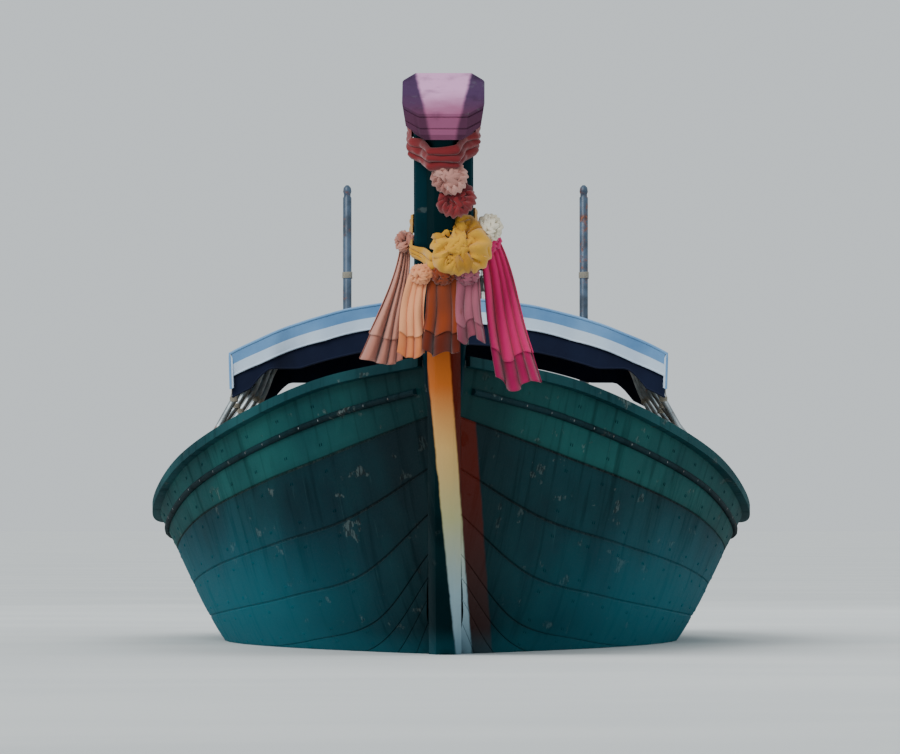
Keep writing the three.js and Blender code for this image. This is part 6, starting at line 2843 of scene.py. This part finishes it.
    def _exhaust(self) -> None:
        """Builds the manifold with its runners and the pipe that turns aft."""
        form, (x, level), (outer, inner) = Form(), self.manifold, self.pipe
        for y in CYLINDERS:
            form.block((-0.1025, y - 0.030, 0.303), (-0.0966, y + 0.030, 0.341))
            form.rod((-0.101, y, level), (x, y, level), 0.0175, 20)
        ys = (-0.290, -0.287, -0.20, 0.02, 0.107, 0.110)
        radii = (0.012, 0.0185, 0.0195, 0.0195, 0.0185, 0.012)
        form.tube([(x, y, level) for y in ys], radii, 24)
        path = [
            (-0.135, -0.06, level), (-0.165, -0.06, level), (-0.205, -0.05, 0.290),
            (-0.222, 0.0, 0.232), (-0.222, 0.11, 0.205), (-0.222, 0.29, 0.195),
        ]
        line = [p for p in smooth(path, 72) if p.x < -0.150]
        form.tube(line, outer, 28, ends=False)
        form.tube(line[::-1], inner, 28, ends=False)
        way = (line[-1] - line[-2]).normalized()
        form.sleeve(line[-1] - way * 0.006, way, 0.0062, 0.0248, inner)
        form.sleeve((-0.149, -0.06, level), (-1, 0, 0), 0.012, 0.034, 0.020)
        form.coat = 1
        for shift in (-0.024, 0.024):
            form.bolt((-0.1605, -0.06 + shift, level), (-1, 0, 0), 0.006)
        for y in CYLINDERS:
            for shift, z in ((-0.022, 0.334), (0.022, 0.310)):
                form.bolt((-0.1025, y + shift, z), (-1, 0, 0), 0.0055, False)
        form.coat = 2
        for k in (40, 52):
            form.sleeve(line[k], line[k + 1] - line[k], 0.014, 0.0242, 0.0222)
        coats = ["iron", "bolt", "tube"]
        self._piece(form, "exhaust_pipe", coats, "galvanised_tube", "exhaust", bevel=0, angle=32)

    def _tiller(self) -> None:
        """Builds the steering bar with its socket, throttle lever and grip."""
        path = [
            (0, -0.3804, -0.006), (0, -0.47, -0.006), (0, -0.64, -0.014), (0, -0.82, -0.036),
            (0, -0.97, -0.058),
        ]
        form = Form()
        form.tube(smooth(path, 40), 0.0165, 20)
        socket = [(0, 0.030), (0.006, 0.030), (0.0065, 0.0215), (0.060, 0.0205), (0.064, 0.0168)]
        form.turned((0, -0.3806, -0.006), (0, -1, 0), socket, 28)
        form.coat = 1
        grip, ridge = [(0, 0.0175)], ((0, 0.0205), (0.003, 0.022), (0.013, 0.022), (0.016, 0.0205))
        for k in range(9):
            grip += [(0.006 + 0.0195 * k + along, radius) for along, radius in ridge]
        grip += [(0.186, 0.022), (0.190, 0.018), (0.192, 0.008)]
        form.turned((0, -0.968, -0.0578), (0, -0.190, -0.012), grip, 32)
        form.coat = 2
        for y in (-0.400, -0.425):
            form.bolt((0, y, 0.0145), UP, 0.007, False)
        form.sleeve((0, -0.80, -0.0330), (0, -1, -0.13), 0.022, 0.0225, 0.0160)
        lever = [(0.016, -0.811, -0.030), (0.040, -0.816, -0.010)]
        lever += [(0.052, -0.85, 0.012), (0.052, -0.90, 0.016)]
        form.tube(lever, 0.0045, 12)
        coats = ["tube", "rubber", "bolt"]
        self._piece(form, "steering_bar", coats, "galvanised_tube", "tiller", bevel=0, angle=34)

    def _tail(self) -> None:
        """Builds the shaft's tube, its brace and the guard under the propeller."""
        start, end, r = self.tail
        self._tube(start, end, r)
        self._brace(SHAFT_Z - r)
        self._guard(SHAFT_Z - r - 0.009 - FIT)

    def _tube(self, start: float, end: float, r: float) -> None:
        """Builds the shaft's tube with its flange, its joint and its bearing housing.

        Args:
            start: the y of its fore end.
            end: the y of its aft end.
            r: its radius.
        """
        form, long = Form(), end - start
        form.turned((0, start, SHAFT_Z), AFT, [
            (0, 0.046), (0.010, 0.046), (0.0105, 0.034), (0.050, 0.033), (0.058, r), (1.2, r),
            (1.201, r + 0.003), (1.224, r + 0.003), (1.225, r), (long - 0.150, r),
            (long - 0.146, 0.037), (long - 0.094, 0.037), (long - 0.092, 0.035),
            (long - 0.040, 0.035), (long - 0.038, 0.037), (long - 0.004, 0.037), (long, 0.034),
        ], 40)
        form.coat = 1
        for y, lift in ((2.2, r), (3.45, 0.0365)):
            form.turned((0, y, SHAFT_Z + lift - 0.001), UP, NIPPLE, 10)
        for x, z in circle(0.034, 4, 0.5):
            form.bolt((x, start + 0.010, SHAFT_Z + z), AFT, 0.0055, False)
        coats = ["tube", "bolt"]
        self._piece(form, "shaft_tube", coats, "galvanised_tube", "tail_tube", bevel=0, angle=32)

    def _brace(self, under: float) -> None:
        """Builds the stay below the shaft's tube.

        Args:
            under: the height of the tube's underside.
        """
        form, low = Form(), under - 0.062
        form.rod((0, 0.465, low), (0, 2.095, low), 0.0098, 20)
        web = [(low, 0.010), (low + 0.012, 0.011), (under - 0.014, 0.018), (under - FIT, 0.024)]
        clip = [(0, 0.0098), (0.006, 0.0128), (0.034, 0.0128), (0.04, 0.0098)]
        for y in (0.48, 1.25, 2.08):
            outline = [(y + s, z) for z, s in web] + [(y - s, z) for z, s in reversed(web)]
            form.loft([[(x, at, z) for at, z in outline] for x in (-0.006, 0.006)])
            form.turned((0, y - 0.02, low), AFT, clip, 18)
        self._piece(form, "tail_stay", ["tube"], "galvanised_tube", "tail_brace", bevel=0.0012)

    def _guard(self, top: float) -> None:
        """Builds the fin and the shoe under the propeller.

        Args:
            top: the height that the fin reaches up to.
        """
        form = Form()
        fin = [
            (3.420, top), (3.530, top), (3.548, 0.010), (3.560, -0.040), (3.585, -0.058),
            (3.585, -0.072), (3.440, -0.072), (3.424, -0.030),
        ]
        shoe = [(3.420, -0.072), (3.765, -0.072), (3.770, -0.066), (3.765, -0.0585), (3.42, -0.056)]
        for outline, half in ((fin, 0.006), (shoe, 0.009)):
            form.loft([[(x, y, z) for y, z in outline] for x in (-half, half)])
        form.coat = 1
        for y in (3.44, 3.505):
            form.bolt((0.006, y, 0.035), (1, 0, 0), 0.006)
        coats = ["tube", "bolt"]
        self._piece(form, "skeg", coats, "galvanised_tube", "propeller_guard", bevel=0.0015)


@dataclass
class Propeller:
    """Hub, cone and three twisted blades."""

    start: float = 3.5606
    length: float = 0.1174
    radius: float = 0.140
    blades: int = 3
    # radius, half chord, pitch angle, half thickness
    sections: tuple[tuple[float, float, float, float], ...] = (
        (0.022, 0.033, 58, 0.0070), (0.046, 0.044, 47, 0.0060), (0.070, 0.052, 38, 0.0050),
        (0.095, 0.054, 32, 0.0044), (0.112, 0.050, 28, 0.0038), (0.126, 0.039, 26, 0.0030),
        (0.135, 0.024, 24.5, 0.0022), (0.1395, 0.008, 24, 0.0012),
    )

    def build(self) -> None:
        """Builds the propeller on its own body."""
        form = Form()
        form.turned((0, self.start, 0), AFT, [
            (0, 0.033), (0.002, 0.034), (0.060, 0.0325), (self.length - 0.006, 0.0285),
            (self.length, 0.0265),
        ], 40)
        middle = self.start + self.length / 2
        knots = np.array(self.sections)
        radii = np.linspace(knots[0, 0], knots[-1, 0], 22)
        for blade in range(self.blades):
            turn = Matrix.Rotation(math.tau * blade / self.blades, 4, "Y")
            rings = []
            for r in radii:
                chord, pitch, thick = (np.interp(r, knots[:, 0], knots[:, k]) for k in (1, 2, 3))
                rise, run = math.sin(math.radians(pitch)), math.cos(math.radians(pitch))
                sweep = 0.006 * (r / self.radius) ** 2
                ring = []
                for a, b in circle(1.0, 20):
                    c, t = chord * a, thick * b * (0.55 + 0.45 * abs(b))
                    spot = Vector(((c + sweep) * run - t * rise, middle + c * rise + t * run, r))
                    ring.append(turn @ spot)
                rings.append(ring)
            form.loft(rings)
        form.coat = 1
        form.turned((0, self.start + self.length, 0), AFT, [
            (-0.001, 0.026), (0.012, 0.0255), (0.0121, 0.018), (0.024, 0.016), (0.030, 0.012),
            (0.033, 0.006),
        ], 6)
        form.moved(MOTOR @ Matrix.Translation((0, 0, SHAFT_Z)))
        form.piece("screw", "rotor", ["bronze", "bolt"], "bronze", ["propeller"], angle=40)


# Camera, light and floor


@dataclass
class Studio:
    """The plain setting: camera, soft light, and a pale floor in the plane of the water."""

    lines: HullLines
    camera_at: tuple[float, float, float] = (0.18, -44.0, 0.436)
    camera_to: tuple[float, float, float] = (0.02, -4.9, 0.93)
    focal: float = 471.0
    reach: float = 900.0
    gap: float = 0.004

    def camera(self) -> None:
        """Sets the camera far ahead of the bow, a little to port and low over the water."""
        data = bpy.data.cameras.new("camera")
        data.lens, data.sensor_width, data.clip_end = self.focal, 36.0, 2000.0
        thing = bpy.data.objects.new("camera", data)
        bpy.context.scene.collection.objects.link(thing)
        thing.location = self.camera_at
        way = Vector(self.camera_to) - Vector(self.camera_at)
        thing.rotation_euler = way.to_track_quat("-Z", "Y").to_euler()
        bpy.context.scene.camera = thing

    def light(self) -> None:
        """Lights the boat with a pale sky, a broad distant key and two soft lamps."""
        world = bpy.data.worlds.new("sky")
        world.use_nodes = True
        back = world.node_tree.nodes["Background"]
        back.inputs[0].default_value = tint("#dce4e8")
        back.inputs[1].default_value = 1.0
        bpy.context.scene.world = world
        for name, kind, spot, aim, size, power in (
            ("key", "SUN", (-9.0, -17.0, 13.0), (0, -3, 0.6), 0.6, 2.4),
            ("fill", "AREA", (12.0, -12.0, 6.0), (0, -2, 0.5), 10.0, 260.0),
            ("back", "AREA", (4.0, 16.0, 12.0), (0, 2, 0.5), 9.0, 500.0),
        ):
            lamp = bpy.data.lights.new(name, kind)
            lamp.energy = power
            if kind == "SUN":
                lamp.angle = size
            else:
                lamp.shape, lamp.size = "DISK", size
            thing = bpy.data.objects.new(name, lamp)
            bpy.context.scene.collection.objects.link(thing)
            thing.location = spot
            thing.rotation_euler = (Vector(aim) - Vector(spot)).to_track_quat("-Z", "Y").to_euler()

    def floor(self) -> None:
        """Lays the floor round the hull's waterline, so that it leaves the boat's inside open."""
        half = self.lines.waterline(0.0, 0.012)
        level = [float(y) for y in np.linspace(-4.6, 4.7, 600) if half(float(y)) > self.gap]
        fore, aft = level[0], level[-1]
        ys = [fore + (aft - fore) * (1 - math.cos(math.pi * t)) / 2 for t in spread(0, 1, 60)]
        port = [(max(half(y), self.gap), y) for y in ys]
        edge = port + [(-x, y) for x, y in reversed(port)]
        centre = (fore + aft) / 2
        rings = []
        for share in (0.0, 0.02, 0.08, 0.25, 1.0):
            ring = []
            for x, y in edge:
                angle = math.atan2(y - centre, x)
                far_x, far_y = self.reach * math.cos(angle), centre + self.reach * math.sin(angle)
                ring.append((x + (far_x - x) * share, y + (far_y - y) * share, 0.0))
            rings.append(ring)
        mesh = bpy.data.meshes.new("floor")
        form = Form()
        form.grid(rings, wrap=True)
        mesh.from_pydata([tuple(p) for p in form.points], [], form.faces)
        mesh.materials.append(self._floor_paint())
        thing = bpy.data.objects.new("floor", mesh)
        bpy.context.scene.collection.objects.link(thing)

    @staticmethod
    def _floor_paint() -> bpy.types.Material:
        """Returns the floor's pale matt finish."""
        s = Surface("pale_floor")
        tone = s.noise(0.35, 3).rise(0.35, 0.65)
        colour = s.mix(tone, "#c9cdcd", "#d3d6d5")
        return s.finish(Base_Color=colour, Roughness=0.62 + tone * 0.08)


def main() -> None:
    """Builds the studio and every part of the boat."""
    logging.basicConfig(level=logging.INFO, format="%(message)s")
    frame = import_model()
    LOG.info("frame: %d nodes", len(frame["nodes"]))
    lines = HullLines()
    studio = Studio(lines)
    studio.camera()
    studio.light()
    studio.floor()
    Planking(lines).build()
    Framing(lines).build()
    Rails(lines).build()
    Transom(lines).build()
    Backbone(lines).build()
    ProwCloth(lines).build()
    Canopy(lines).build()
    Poles().build()
    Decks(lines).build()
    SternGear(lines).build()
    Swivel().build()
    Motor().build()
    Propeller().build()


if __name__ == "__main__":
    main()
